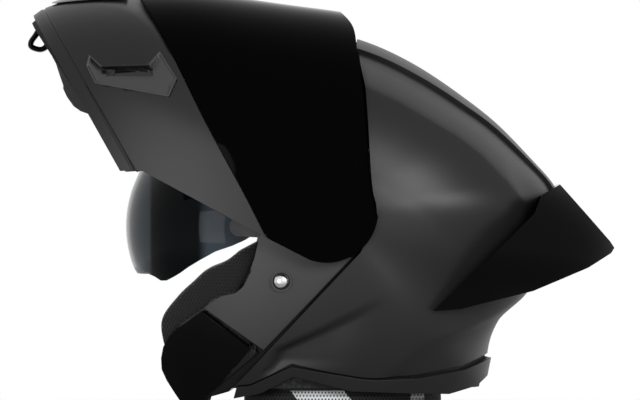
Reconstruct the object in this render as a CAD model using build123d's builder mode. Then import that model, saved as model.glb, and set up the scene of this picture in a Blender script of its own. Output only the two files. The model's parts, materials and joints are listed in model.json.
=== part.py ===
# Modular motorcycle helmet. The chin bar and the visor swing up together on one side pivot.
# Frame: the face looks toward -X, the wearer's left is -Y, up is +Z, the neck roll rests on z = 0.
# Every shell-like piece is one side outline about the pivot axis that shrinks toward the sides,
# so a piece with a larger outline clears a smaller one at every angle of the swing.
from build123d import *
import math
import os

os.makedirs("parts", exist_ok=True)

# Driving sizes
crown_radius = 117.0
pivot_x = 4.5
pivot_height = 132.0
shell_half_width = 123.5
recess_half_width = 112.5
shell_wall = 3.5
brow_wall = 2.5
guard_wall = 4.4
chin_half_width = 126.0
chin_wall = 3.4
visor_proud = 1.0
visor_wall = 2.2
arm_wall = 3.4
head_half_width = 82.0
comfort_wall = 7.0
cheek_half_gap = 61.0

# Clearances and fits
seat_gap = 0.15
soft_gap = 0.4
bore_gap = 0.15

# Roundness of the forms across the width
roundness = 2.3
form_steps = 4
visor_form_steps = 8
cut_reach = 400.0

# Recessed zone that the chin bar and visor swing in
recess_rise = 2.0
recess_disc = 36.0

# Pivot stack
pivot_base_radius = 22.0
pivot_boss_radius = 7.8
pivot_screw_radius = 3.0
pivot_head_height = 1.0
ratchet_radius = 11.0
ratchet_wall = 1.1
cap_drop = 1.0

# Side outlines of the forms: angle about the pivot axis and share of the crown radius
shell_form_shares = [
    (98, 1.000), (116, 1.018), (136, 1.042), (157, 1.080), (175, 1.130), (-167, 1.220),
    (-150, 1.370), (-135, 1.520), (-120, 1.630), (-90, 1.670), (-65, 1.530), (-50, 1.360),
    (-41, 1.225), (-32, 1.180), (-22, 1.220), (-8, 1.272), (5, 1.240), (16, 1.145),
    (28, 1.048), (40, 0.978), (52, 0.945), (66, 0.940), (82, 0.965)]
chin_form_shares = [
    (83, 1.115), (98, 1.160), (112, 1.289), (122, 1.450), (132, 1.660), (140, 1.870),
    (147, 2.000), (156, 2.010), (170, 1.950), (190, 1.850), (210, 1.710), (230, 1.560),
    (250, 1.440), (275, 1.350), (300, 1.290), (330, 1.250), (360, 1.220), (390, 1.180),
    (418, 1.130)]
head_form_shares = [
    (158, 0.800), (135, 0.680), (115, 0.628), (98, 0.609), (80, 0.609), (61, 0.637), (45, 0.688),
    (28, 0.773), (10, 0.857), (-5, 0.891), (-20, 0.860), (-35, 0.850), (-50, 0.950), (-65, 1.210),
    (-80, 1.470), (-100, 1.640), (-120, 1.640), (-140, 1.530), (-160, 1.350), (180, 1.120),
    (169, 0.930)]

# Side outlines: shares of the crown radius, forward or back and up or down from the pivot axis
step_line_shares = [(0.300, 0.060), (0.200, 1.350), (-2.60, 1.350), (-2.60, -1.405),
                    (-0.913, -1.405), (0.194, -0.225)]
shell_outline_shares = [
    (-1.070, 0.430), (-0.965, 0.405), (-0.826, 0.288), (-0.657, 0.164), (-0.488, 0.006),
    (-0.364, -0.141), (-0.392, -0.259), (-0.430, -0.361), (-0.499, -0.451), (-0.629, -0.499),
    (-0.674, -0.540), (-0.369, -0.778), (-0.713, -1.066), (-0.629, -1.049), (-0.499, -0.970),
    (-0.426, -0.964), (-0.195, -0.857), (-0.037, -0.886), (0.189, -0.925), (0.274, -0.931),
    (0.516, -0.922), (0.770, -0.874), (0.922, -0.812), (1.500, -0.600), (1.500, 1.300), (-1.070, 1.300)]
panel_outline_shares = [
    (-0.370, -0.141), (-0.398, -0.259), (-0.434, -0.361), (-0.460, -0.417), (-0.503, -0.451),
    (-0.578, -0.468), (-0.633, -0.499), (-0.674, -0.536), (-0.347, -0.767), (0.075, -0.285),
    (-0.100, -0.300), (-0.230, -0.240)]
guard_outline_shares = [
    (-0.688, -0.551), (-0.770, -0.612), (-0.821, -0.643), (-0.866, -0.688), (-0.902, -0.750),
    (-0.914, -0.812), (-0.911, -0.874), (-0.883, -0.936), (-0.840, -1.004), (-0.798, -1.066),
    (-0.760, -1.100), (-0.724, -1.072), (-0.384, -0.786)]
trim_outline_shares = [
    (-0.499, -0.976), (-0.426, -0.970), (-0.195, -0.863), (-0.037, -0.892), (0.189, -0.931),
    (0.274, -0.937), (0.516, -0.928), (0.770, -0.880), (0.922, -0.818), (1.400, -0.600),
    (1.400, -0.720), (0.917, -0.902), (0.838, -0.970), (0.680, -1.015), (0.144, -0.998),
    (-0.183, -0.914), (-0.369, -1.010), (-0.516, -1.038)]
chin_outline_shares = [
    (-1.980, 1.650), (-1.148, 0.226), (-1.142, 0.220), (-1.035, 0.231), (-0.336, -0.147),
    (-0.443, 0.062), (-0.691, 0.525), (-0.821, 0.790), (-0.928, 0.998), (-1.035, 1.190),
    (-1.290, 1.650)]
visor_front_shares = [(-0.330, -0.150), (-0.437, 0.062), (-0.685, 0.525), (-0.815, 0.790),
                      (-0.922, 0.998), (-1.029, 1.190), (-1.284, 1.650), (0.060, 1.650)]
visor_rear_shares = [(0.133, 1.120), (0.166, 0.942), (0.195, 0.716), (0.217, 0.479), (0.240, 0.197),
                     (0.257, 0.073), (0.277, -0.020)]
visor_corner_share = 0.278
visor_corner_angle = -50
visor_foot_shares = (-0.093, -0.271)
arm_outline_shares = [(-0.020, 0.230), (-0.820, 0.700), (-1.020, 0.500), (-1.000, 0.250),
                      (-0.420, -0.060), (-0.100, -0.210)]
arm_eye_radius = 28.0

# Rear spoiler, crown spine and lower trim
spine_rise = 3.0
spoiler_rise = 3.2
trim_rise = 1.2
spine_half_width_shares = [(0.235, 0.430), (0.500, 0.410), (0.800, 0.355), (1.114, 0.250),
                           (1.400, 0.200)]
spoiler_form_shares = [
    (98, 1.010), (120, 1.030), (150, 1.060), (180, 1.150), (-150, 1.400), (-120, 1.640),
    (-90, 1.700), (-65, 1.560), (-50, 1.400), (-40, 1.300), (-30, 1.330), (-20, 1.560),
    (-9, 1.720), (3, 1.560), (14, 1.270), (26, 1.090), (40, 1.000), (55, 0.965), (75, 0.965)]
spoiler_outline_shares = [
    (1.306, 0.150), (1.590, -0.170), (1.614, -0.206), (1.595, -0.235), (1.464, -0.316),
    (1.153, -0.446), (0.742, -0.547), (0.601, -0.556), (0.880, -0.290), (1.131, -0.039),
    (1.159, -0.011), (1.200, 0.090)]

# Cheek guards, cheek pads and liners
skin_rise = 2.0
gasket_reach = 2.2
gasket_zone_shares = [(-1.250, 0.700), (-1.250, 0.250), (-0.800, 0.050), (-0.430, -0.220),
                      (-0.330, -0.100), (-0.330, 0.700)]
pad_inset = 5.3
liner_outline_shares = [
    (-0.945, 0.344), (-0.798, 0.231), (-0.635, 0.107), (-0.471, -0.039), (-0.340, -0.140),
    (-0.370, -0.260), (-0.410, -0.370), (-0.480, -0.470), (-0.620, -0.520), (-0.660, -0.560),
    (-0.800, -0.660), (-0.860, -0.780), (-0.850, -0.880), (-0.780, -0.988), (1.000, -0.988),
    (1.500, -0.600), (1.500, 1.300), (-0.990, 1.300), (-0.990, 0.420)]
pad_outline_shares = [
    (-0.488, -0.220), (-0.584, -0.288), (-0.663, -0.321), (-0.736, -0.384), (-0.798, -0.440),
    (-0.854, -0.502), (-0.922, -0.615), (-0.922, -0.677), (-0.905, -0.756), (-0.880, -0.900),
    (-0.800, -1.030), (-0.760, -1.085), (-0.660, -1.085), (-0.645, -0.985), (0.030, -0.985),
    (0.060, -0.600), (-0.020, -0.200), (-0.250, -0.090)]
crown_liner_shares = [(-0.640, 1.200), (-0.640, 0.180), (-0.300, -0.030), (1.100, -0.030),
                      (1.100, 1.200)]
neck_roll_height = 16.0
neck_roll_x = 4.0
neck_outer_radii = (76.0, 97.0)
neck_inner_radii = (60.0, 76.0)
neck_mouth_half_width = 52.0
neck_round = 5.0

# Sun lens
lens_centre_share = (-0.485, -0.085)
lens_radius = 75.6
lens_half_width = 97.0
lens_wall = 2.2
lens_slot_gap = 1.2
lens_ear_radius = 9.4
lens_pin_radius = 2.5
lens_boss_radius = 6.5
bracket_pin_end = 100.0
lens_bracket_wall = 2.4
lens_bracket_shares = [(-0.485, -0.030), (-0.300, -0.020), (-0.240, -0.100), (-0.330, -0.150),
                       (-0.485, -0.140)]
lens_nose_half_width = 17.0
lens_nose_height = 12.0
lens_nose_share = -0.400
lens_outline_shares = [
    (-1.300, 0.243), (-1.300, -0.327), (-1.080, -0.327), (-1.063, -0.342), (-0.998, -0.350),
    (-0.962, -0.367), (-0.928, -0.389), (-0.894, -0.389), (-0.843, -0.361), (-0.792, -0.324),
    (-0.713, -0.276), (-0.623, -0.226), (-0.539, -0.197), (-0.485, -0.160), (-0.485, -0.010),
    (-0.620, 0.050), (-0.800, 0.160), (-0.950, 0.235)]
lens_slot_shares = [(-0.385, -0.200), (-0.385, 0.000), (-0.405, 1.000), (-1.600, 1.000),
                    (-1.600, -0.900), (-0.700, -0.900)]

# Side vents, front trim and lining of the chin bar
vent_rise = 1.5
vent_pocket = 1.6
vent_window_count = 7
vent_rib_share = 0.3
vent_outline_shares = [
    (-1.323, 0.874), (-1.340, 0.812), (-1.289, 0.711), (-0.877, 0.637), (-0.832, 0.739),
    (-0.928, 0.891), (-0.990, 0.818), (-1.255, 0.812)]
vent_pocket_shares = [(-1.255, 0.767), (-0.979, 0.784), (-0.894, 0.655), (-1.277, 0.728)]
vent_slot_shares = [(-1.250, 0.805), (-0.985, 0.810), (-0.979, 0.784), (-1.255, 0.767)]
front_trim_rise = 1.6
front_trim_shares = [(-1.545, 1.170), (-1.360, 1.185), (-1.115, 1.200), (-1.120, 1.260),
                     (-1.300, 1.500), (-1.700, 1.500)]
chin_liner_depth = 24.0
chin_liner_shares = [(-1.980, 1.620), (-1.638, 1.021), (-1.330, 0.555), (-1.270, 0.590),
                     (-1.180, 0.760), (-1.150, 1.150), (-1.290, 1.600)]
curtain_wall = 2.0
curtain_shares = [(-1.640, 0.930), (-1.520, 0.750), (-1.481, 0.688), (-1.430, 0.592),
                  (-1.362, 0.553), (-1.310, 0.540), (-1.250, 0.620), (-1.420, 0.920),
                  (-1.540, 1.060)]

# Release tab and latch
tab_half_width = 11.0
tab_notch_gap = 1.5
tab_pin_radius = 1.5
tab_pin_seat = 3.0
tab_pivot_share = (-1.612, 1.040)
tab_outline_shares = [(-1.650, 1.060), (-1.689, 0.948), (-1.667, 0.919), (-1.616, 0.894),
                      (-1.571, 0.922), (-1.575, 1.075)]
tab_hole_shares = [(-1.610, 0.990), (-1.588, 0.948), (-1.610, 0.936), (-1.647, 0.948)]
tab_notch_shares = [(-1.760, 0.850), (-1.480, 0.850), (-1.480, 1.130), (-1.760, 1.130)]
latch_pin_share = (-0.251, -0.389)
latch_pin_radius = 5.5
latch_ring_radius = 6.8
latch_ring_height = 1.4
latch_ring_seat = 3.6
latch_pin_foot = 108.0
latch_pin_dome = 4.8
latch_pin_rise = 8.3
hook_wall = 1.9
hook_inner_y = 111.8
hook_pivot_radius = 3.0
hook_gap = 0.2
hook_pivot_share = (-0.600, 0.255)
hook_outline_shares = [(-0.508, 0.160), (-0.520, 0.250), (-0.560, 0.300), (-0.630, 0.300),
                       (-0.640, 0.240), (-0.580, 0.130), (-0.520, 0.115)]

# Chin strap and buckle
strap_x = 25.0
strap_width = 22.0
strap_wall = 2.0
strap_bend = 9.0
strap_route = [(74.0, 98.0), (74.0, 78.0), (65.0, 40.0), (55.0, 19.0), (31.0, 10.5), (12.0, 10.5)]
rivet_radius = 2.5
rivet_head_radius = 6.0
rivet_head_height = 1.2
rivet_height = 90.0
rivet_reach = 114.0
rivet_seat = 0.4
buckle_half_length = 17.0
buckle_width = 28.0
buckle_height = 7.0
buckle_wall = 1.8
lever_gap = 0.4
lever_height = 2.4
lever_length = 14.0
lever_pin_radius = 1.0
lever_pin_y = -3.0


def at(share):
    # Point of a side outline, in the side plane whose origin is on the pivot axis
    return (share[0] * crown_radius, share[1] * crown_radius)


def side_plane(y):
    # Plane parallel to the side view at this distance to the wearer's right
    return Plane(origin=(pivot_x, y, pivot_height), x_dir=(1, 0, 0), z_dir=(0, -1, 0))


def form_sections(half_width, cap_half_width, steps):
    # Places across the width with the scale of the side outline there
    cap_turn = math.asin((cap_half_width / half_width) ** (roundness / 2))
    sections = []
    for step in range(-steps, steps + 1):
        turn = cap_turn * step / steps
        y = math.copysign(half_width * abs(math.sin(turn)) ** (2 / roundness), turn)
        sections.append((y, math.cos(turn) ** (2 / roundness)))
    return sections


def swing_form(form_shares, inset, half_width, cap_half_width, steps=form_steps):
    # Body with one side outline about the pivot axis that shrinks toward both sides
    with BuildPart() as form:
        for y, scale in form_sections(half_width, cap_half_width, steps):
            points = []
            for angle, share in form_shares:
                reach = (share * crown_radius - inset) * scale
                points.append((reach * math.cos(math.radians(angle)),
                               reach * math.sin(math.radians(angle))))
            with BuildSketch(side_plane(y)):
                with BuildLine():
                    Spline(*points, periodic=True)
                make_face()
        loft()
    return form.part


def outline_prism(shares, margin=0):
    # Side outline run through the whole width, grown by a margin
    with BuildPart() as prism:
        with BuildSketch(side_plane(0)):
            with BuildLine():
                Polyline(*[at(share) for share in shares], close=True)
            make_face()
            if margin:
                offset(amount=margin, kind=Kind.INTERSECTION)
        extrude(amount=cut_reach, both=True)
    return prism.part


def swing_region(margin):
    # Zone of the chin bar and visor swing: in front of the step line, and a disc at the pivot
    with BuildPart() as region:
        with BuildSketch(side_plane(0)):
            with BuildLine():
                Polyline(*[at(share) for share in step_line_shares], close=True)
            make_face()
            Circle(recess_disc)
            if margin:
                offset(amount=margin, kind=Kind.INTERSECTION)
        extrude(amount=cut_reach, both=True)
    return region.part


def stepped_volume(inset):
    # Full width behind the step line, narrower where the chin bar and visor swing
    region = swing_region(inset)
    front_inset = recess_rise + min(inset, brow_wall) + max(inset - shell_wall, 0)
    with BuildPart() as front:
        add(swing_form(shell_form_shares, front_inset, recess_half_width - inset,
                       recess_half_width - inset - 2 * cap_drop))
        add(region, mode=Mode.INTERSECT)
    with BuildPart() as volume:
        add(swing_form(shell_form_shares, inset, shell_half_width - inset,
                       shell_half_width - inset - cap_drop))
        add(region, mode=Mode.SUBTRACT)
        add(front.part)
    return volume.part


def side_block(side, inner_y=0):
    # Everything beyond this distance from the middle on one side
    with BuildPart() as block:
        with BuildSketch(side_plane(side * inner_y)):
            Rectangle(2 * cut_reach, 2 * cut_reach)
        extrude(amount=cut_reach, dir=(0, side, 0))
    return block.part


def side_disc(centre, radius, inner_y, outer_y, side):
    # Round body across the width, between two distances from the middle
    with BuildPart() as body:
        with BuildSketch(side_plane(side * inner_y)):
            with Locations(centre):
                Circle(radius)
        extrude(amount=outer_y - inner_y, dir=(0, side, 0))
    return body.part


def ball_form(centre, radius, half_width):
    # Round body about the lens axis that shrinks toward both sides
    with BuildPart() as form:
        for y, scale in form_sections(half_width, half_width - cap_drop, form_steps):
            with BuildSketch(side_plane(y)):
                with Locations(centre):
                    Circle(radius * scale)
        loft()
    return form.part


def chin_form(inset, steps=form_steps):
    # Form of the chin bar, drawn in by this much
    return swing_form(chin_form_shares, inset, chin_half_width - inset,
                      chin_half_width - inset - cap_drop, steps)


def shell_form(inset):
    # Full-width form of the shell, drawn in by this much
    return swing_form(shell_form_shares, inset, shell_half_width - inset,
                      shell_half_width - inset - cap_drop)


def recess_form(inset):
    # Form of the recessed front of the shell, drawn in by this much
    return swing_form(shell_form_shares, recess_rise + inset, recess_half_width - inset,
                      recess_half_width - inset - 2 * cap_drop)


def finish(piece, name):
    # Label a finished piece and write it under its own name
    piece.part.label = name
    export_step(piece.part, f"parts/{name}.step")


# Outer shell
with BuildPart() as outer_shell:
    add(stepped_volume(0))
    add(stepped_volume(shell_wall), mode=Mode.SUBTRACT)
    add(outline_prism(shell_outline_shares), mode=Mode.INTERSECT)
finish(outer_shell, "outer_shell")


# Forms that several pieces share
shell_skin = shell_form(0)
chin_skin = chin_form(0)
chin_lining = chin_form(chin_wall)
head_form = swing_form(head_form_shares, 0, head_half_width, head_half_width - cap_drop)
lens_centre = at(lens_centre_share)

# Crown spine, a raised strip from the step line back to the spoiler
with BuildPart() as crown_spine:
    add(shell_form(-spine_rise))
    add(shell_skin, mode=Mode.SUBTRACT)
    with BuildSketch(Plane((pivot_x, 0, pivot_height)), mode=Mode.PRIVATE) as spine_plan:
        with BuildLine():
            Polyline(*[at(share) for share in spine_half_width_shares],
                     *[at((x, -y)) for x, y in reversed(spine_half_width_shares)], close=True)
        make_face()
    extrude(spine_plan.sketch, amount=cut_reach, mode=Mode.INTERSECT)
finish(crown_spine, "crown_spine")

# Rear spoiler, a gloss lip that wraps the back of the shell
with BuildPart() as rear_spoiler:
    add(swing_form(spoiler_form_shares, 0, shell_half_width + spoiler_rise,
                   shell_half_width + spoiler_rise - cap_drop))
    add(outline_prism(spoiler_outline_shares), mode=Mode.INTERSECT)
    add(shell_skin, mode=Mode.SUBTRACT)
    add(crown_spine.part, mode=Mode.SUBTRACT)
finish(rear_spoiler, "rear_spoiler")

# Lower trim band
with BuildPart() as lower_trim:
    add(shell_form(-trim_rise))
    add(shell_form(shell_wall), mode=Mode.SUBTRACT)
    add(outline_prism(trim_outline_shares), mode=Mode.INTERSECT)
finish(lower_trim, "lower_trim")

# Side panels and cheek guards, skins over the recessed front of the shell
panel_outer = recess_form(-skin_rise)
panel_inner = recess_form(-seat_gap)
guard_inner = recess_form(guard_wall - skin_rise)
for side, hand in ((-1, "left"), (1, "right")):
    with BuildPart() as side_panel:
        add(panel_outer)
        add(panel_inner, mode=Mode.SUBTRACT)
        add(outline_prism(panel_outline_shares), mode=Mode.INTERSECT)
        add(side_block(side), mode=Mode.INTERSECT)
    finish(side_panel, f"side_panel_{hand}")
    with BuildPart() as cheek_guard:
        add(panel_outer)
        add(guard_inner, mode=Mode.SUBTRACT)
        add(outline_prism(guard_outline_shares), mode=Mode.INTERSECT)
        add(side_block(side), mode=Mode.INTERSECT)
    finish(cheek_guard, f"cheek_guard_{hand}")

# Brow gasket, a rubber trim along the edge of the face port
with BuildPart() as brow_gasket:
    add(recess_form(0))
    add(recess_form(brow_wall), mode=Mode.SUBTRACT)
    add(outline_prism(shell_outline_shares, gasket_reach), mode=Mode.INTERSECT)
    add(outline_prism(shell_outline_shares, seat_gap), mode=Mode.SUBTRACT)
    add(outline_prism(gasket_zone_shares), mode=Mode.INTERSECT)
finish(brow_gasket, "brow_gasket")

# Chin bar with its side vents cut out
with BuildPart() as chin_bar:
    add(chin_skin)
    add(chin_lining, mode=Mode.SUBTRACT)
    add(outline_prism(chin_outline_shares), mode=Mode.INTERSECT)
    add(outline_prism(vent_outline_shares, seat_gap), mode=Mode.SUBTRACT)
finish(chin_bar, "chin_bar")

# Visor, with the large round corner at the pivot
visor_corner_middle = at((visor_corner_share * math.cos(math.radians(visor_corner_angle)),
                          visor_corner_share * math.sin(math.radians(visor_corner_angle))))
with BuildPart() as visor:
    add(chin_form(-visor_proud, visor_form_steps))
    add(chin_form(visor_wall - visor_proud, visor_form_steps), mode=Mode.SUBTRACT)
    with BuildSketch(side_plane(0), mode=Mode.PRIVATE) as visor_outline:
        with BuildLine():
            corner_end = at(visor_rear_shares[-1])
            foot = at(visor_foot_shares)
            Spline(*[at(share) for share in visor_rear_shares])
            ThreePointArc(corner_end, visor_corner_middle, foot)
            Polyline(foot, *[at(share) for share in visor_front_shares], at(visor_rear_shares[0]))
        make_face()
    extrude(visor_outline.sketch, amount=cut_reach, both=True, mode=Mode.INTERSECT)
finish(visor, "visor")

# Pivot stacks: base on the recess floor, arm eye round its boss, screw, ratchet plate for the visor
base_floor = recess_half_width - 2 * cap_drop
arm_outer = chin_half_width - chin_wall - seat_gap - cap_drop
arm_inner = chin_half_width - chin_wall - seat_gap - arm_wall - cap_drop
arm_skin = chin_form(chin_wall + seat_gap)
arm_lining = chin_form(chin_wall + seat_gap + arm_wall)
for side, hand in ((-1, "left"), (1, "right")):
    with BuildPart() as pivot_base:
        add(side_disc((0, 0), pivot_base_radius, base_floor, arm_inner - seat_gap, side))
        add(side_disc((0, 0), pivot_boss_radius, arm_inner - seat_gap, arm_outer - seat_gap, side))
        add(side_disc((0, 0), pivot_screw_radius + bore_gap, base_floor, arm_outer, side),
            mode=Mode.SUBTRACT)
    finish(pivot_base, f"pivot_base_{hand}")
    with BuildPart() as pivot_screw:
        add(side_disc((0, 0), pivot_screw_radius, base_floor, arm_outer - seat_gap, side))
        add(side_disc((0, 0), pivot_boss_radius, arm_outer - seat_gap,
                      arm_outer - seat_gap + pivot_head_height, side))
    finish(pivot_screw, f"pivot_screw_{hand}")
    with BuildPart() as chin_arm:
        add(arm_skin)
        add(arm_lining, mode=Mode.SUBTRACT)
        with BuildSketch(side_plane(0), mode=Mode.PRIVATE) as arm_outline:
            with BuildLine():
                Polyline(*[at(share) for share in arm_outline_shares], close=True)
            make_face()
            Circle(arm_eye_radius)
        extrude(arm_outline.sketch, amount=cut_reach, both=True, mode=Mode.INTERSECT)
        add(side_block(side), mode=Mode.INTERSECT)
        add(side_disc((0, 0), pivot_boss_radius + bore_gap, 0, cut_reach, side), mode=Mode.SUBTRACT)
    finish(chin_arm, f"chin_arm_{hand}")
    with BuildPart() as ratchet_plate:
        add(side_disc((0, 0), ratchet_radius, arm_outer + seat_gap,
                      arm_outer + seat_gap + ratchet_wall, side))
        add(side_disc((0, 0), pivot_boss_radius + bore_gap, 0, cut_reach, side), mode=Mode.SUBTRACT)
    finish(ratchet_plate, f"ratchet_plate_{hand}")

# Latch pins with their black rings
for side, hand in ((-1, "left"), (1, "right")):
    pin_centre = at(latch_pin_share)
    with BuildPart() as latch_ring:
        add(side_disc(pin_centre, latch_ring_radius, latch_pin_foot, latch_pin_foot
                      + latch_ring_height + latch_ring_seat, side))
        add(panel_outer, mode=Mode.SUBTRACT)
        add(side_disc(pin_centre, latch_pin_radius + seat_gap, 0, cut_reach, side),
            mode=Mode.SUBTRACT)
    finish(latch_ring, f"latch_ring_{hand}")
    with BuildPart() as latch_pin:
        add(side_disc(pin_centre, latch_pin_radius, latch_pin_foot, latch_pin_foot
                      + latch_pin_rise, side))
        crown = latch_pin.edges().filter_by(GeomType.CIRCLE).sort_by(Axis.Y, reverse=side < 0)[-1]
        fillet(crown, radius=latch_pin_dome)
        add(panel_outer, mode=Mode.SUBTRACT)
    finish(latch_pin, f"latch_pin_{hand}")

# Energy liner with the slot that the sun lens swings in
with BuildPart() as lens_slot:
    add(ball_form(lens_centre, lens_radius + lens_slot_gap, lens_half_width + lens_slot_gap))
    add(ball_form(lens_centre, lens_radius - lens_wall - lens_slot_gap,
                  lens_half_width - lens_wall - lens_slot_gap), mode=Mode.SUBTRACT)
    add(outline_prism(lens_slot_shares), mode=Mode.INTERSECT)
with BuildPart() as bracket_zone:
    add(recess_form(shell_wall + seat_gap))
    add(recess_form(shell_wall + seat_gap + lens_bracket_wall), mode=Mode.SUBTRACT)
    with BuildSketch(side_plane(0), mode=Mode.PRIVATE) as bracket_outline:
        with BuildLine():
            Polyline(*[at(share) for share in lens_bracket_shares], close=True)
        make_face()
        with Locations(lens_centre):
            Circle(lens_boss_radius)
    extrude(bracket_outline.sketch, amount=cut_reach, both=True, mode=Mode.INTERSECT)
with BuildPart() as bracket_pocket:
    add(outline_prism(lens_bracket_shares, soft_gap))
    add(recess_form(shell_wall + lens_bracket_wall + 2 * soft_gap), mode=Mode.SUBTRACT)
with BuildPart() as energy_liner:
    add(stepped_volume(shell_wall + soft_gap))
    add(outline_prism(liner_outline_shares), mode=Mode.INTERSECT)
    add(head_form, mode=Mode.SUBTRACT)
    add(lens_slot.part, mode=Mode.SUBTRACT)
    add(bracket_pocket.part, mode=Mode.SUBTRACT)
    for side in (-1, 1):
        add(side_disc((strap_x - pivot_x, rivet_height - pivot_height),
                      rivet_radius + bore_gap, 0, cut_reach, side), mode=Mode.SUBTRACT)
finish(energy_liner, "energy_liner")

# Comfort liner of the crown
with BuildPart() as crown_liner:
    add(swing_form(head_form_shares, soft_gap, head_half_width - soft_gap,
                   head_half_width - soft_gap - cap_drop))
    add(swing_form(head_form_shares, comfort_wall, head_half_width - comfort_wall,
                   head_half_width - comfort_wall - cap_drop), mode=Mode.SUBTRACT)
    add(outline_prism(crown_liner_shares), mode=Mode.INTERSECT)
finish(crown_liner, "crown_liner")

# Cheek pads, which fill the liner's sides and cover its front edge
with BuildPart() as liner_blank:
    add(outline_prism(liner_outline_shares, soft_gap))
    add(swing_form(head_form_shares, soft_gap, head_half_width - soft_gap,
                   head_half_width - soft_gap - cap_drop), mode=Mode.SUBTRACT)
for side, hand in ((-1, "left"), (1, "right")):
    with BuildPart() as cheek_pad:
        add(recess_form(pad_inset))
        add(outline_prism(pad_outline_shares), mode=Mode.INTERSECT)
        add(liner_blank.part, mode=Mode.SUBTRACT)
        add(side_block(side, cheek_half_gap), mode=Mode.INTERSECT)
    finish(cheek_pad, f"cheek_pad_{hand}")

# Neck roll, a soft horseshoe round the opening
with BuildPart() as neck_roll:
    with BuildSketch():
        with Locations((neck_roll_x, 0)):
            Ellipse(*neck_outer_radii)
            Ellipse(*neck_inner_radii, mode=Mode.SUBTRACT)
        with Locations((neck_roll_x - neck_outer_radii[0], 0)):
            Rectangle(neck_outer_radii[0], 2 * neck_mouth_half_width, mode=Mode.SUBTRACT)
    extrude(amount=neck_roll_height)
    fillet(neck_roll.edges().group_by(Axis.Z)[0] + neck_roll.edges().group_by(Axis.Z)[-1],
           radius=neck_round)
finish(neck_roll, "neck_roll")

# Sun lens with its two ears and the nose cut
with BuildPart() as sun_lens:
    add(ball_form(lens_centre, lens_radius, lens_half_width))
    add(ball_form(lens_centre, lens_radius - lens_wall, lens_half_width - lens_wall),
        mode=Mode.SUBTRACT)
    with BuildSketch(side_plane(0), mode=Mode.PRIVATE) as lens_outline:
        with BuildLine():
            Polyline(*[at(share) for share in lens_outline_shares], close=True)
        make_face()
        with Locations(lens_centre):
            Circle(lens_ear_radius)
    extrude(lens_outline.sketch, amount=cut_reach, both=True, mode=Mode.INTERSECT)
    with BuildSketch(Plane.YZ, mode=Mode.PRIVATE) as nose_cut:
        with Locations((0, pivot_height + lens_nose_share * crown_radius)):
            Ellipse(lens_nose_half_width, lens_nose_height)
    extrude(nose_cut.sketch, amount=cut_reach, both=True, mode=Mode.SUBTRACT)
    for side in (-1, 1):
        add(side_disc(lens_centre, lens_pin_radius + bore_gap, 0, cut_reach, side),
            mode=Mode.SUBTRACT)
finish(sun_lens, "sun_lens")

# Brackets against the inside of the shell, with the pins that the sun lens turns on
for side, hand in ((-1, "left"), (1, "right")):
    with BuildPart() as lens_pivot:
        add(bracket_zone.part)
        add(side_block(side), mode=Mode.INTERSECT)
        add(side_disc(lens_centre, lens_pin_radius, lens_half_width - lens_wall - 2 * cap_drop,
                      bracket_pin_end, side))
    finish(lens_pivot, f"lens_pivot_{hand}")

# Side vents of the chin bar: raised frame, sunk face and a ribbed slot
with BuildPart() as vent_pair:
    add(chin_form(-vent_rise))
    add(chin_lining, mode=Mode.SUBTRACT)
    add(outline_prism(vent_outline_shares), mode=Mode.INTERSECT)
with BuildPart() as vent_sink:
    add(outline_prism(vent_pocket_shares))
    add(chin_form(vent_pocket), mode=Mode.SUBTRACT)
with BuildPart() as vent_windows:
    with BuildSketch(side_plane(0)):
        upper_start, upper_end, lower_end, lower_start = [Vector(*at(share))
                                                          for share in vent_slot_shares]
        for window in range(vent_window_count):
            start = (window + vent_rib_share) / vent_window_count
            end = (window + 1) / vent_window_count
            corners = [upper_start + (upper_end - upper_start) * start,
                       upper_start + (upper_end - upper_start) * end,
                       lower_start + (lower_end - lower_start) * end,
                       lower_start + (lower_end - lower_start) * start]
            with BuildLine():
                Polyline(*[(corner.X, corner.Y) for corner in corners], close=True)
            make_face()
    extrude(amount=cut_reach, both=True)
for side, hand in ((-1, "left"), (1, "right")):
    with BuildPart() as side_vent:
        add(vent_pair.part)
        add(vent_sink.part, mode=Mode.SUBTRACT)
        add(vent_windows.part, mode=Mode.SUBTRACT)
        add(side_block(side), mode=Mode.INTERSECT)
    finish(side_vent, f"side_vent_{hand}")

# Gloss trim over the front of the chin bar
with BuildPart() as front_trim:
    add(chin_form(-front_trim_rise))
    add(chin_skin, mode=Mode.SUBTRACT)
    add(outline_prism(front_trim_shares), mode=Mode.INTERSECT)
finish(front_trim, "front_trim")

# Foam liner of the chin bar, notched for the release tab and bored for its pin
tab_pivot = at(tab_pivot_share)
notch_half_width = tab_half_width + tab_notch_gap
chin_liner_face = chin_form(chin_wall + seat_gap + chin_liner_depth)
with BuildPart() as chin_liner:
    add(arm_skin)
    add(chin_liner_face, mode=Mode.SUBTRACT)
    add(outline_prism(chin_liner_shares), mode=Mode.INTERSECT)
    with BuildSketch(side_plane(0), mode=Mode.PRIVATE) as tab_notch:
        with BuildLine():
            Polyline(*[at(share) for share in tab_notch_shares], close=True)
        make_face()
    extrude(tab_notch.sketch, amount=notch_half_width, both=True, mode=Mode.SUBTRACT)
    for side in (-1, 1):
        add(side_disc(tab_pivot, tab_pin_radius + bore_gap, 0, notch_half_width + tab_pin_seat,
                      side), mode=Mode.SUBTRACT)
finish(chin_liner, "chin_liner")

# Curtain that hangs inside the chin bar
with BuildPart() as chin_curtain:
    add(chin_form(chin_wall + chin_liner_depth + 2 * soft_gap))
    add(chin_form(chin_wall + chin_liner_depth + 2 * soft_gap + curtain_wall),
        mode=Mode.SUBTRACT)
    add(outline_prism(curtain_shares), mode=Mode.INTERSECT)
finish(chin_curtain, "chin_curtain")

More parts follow.
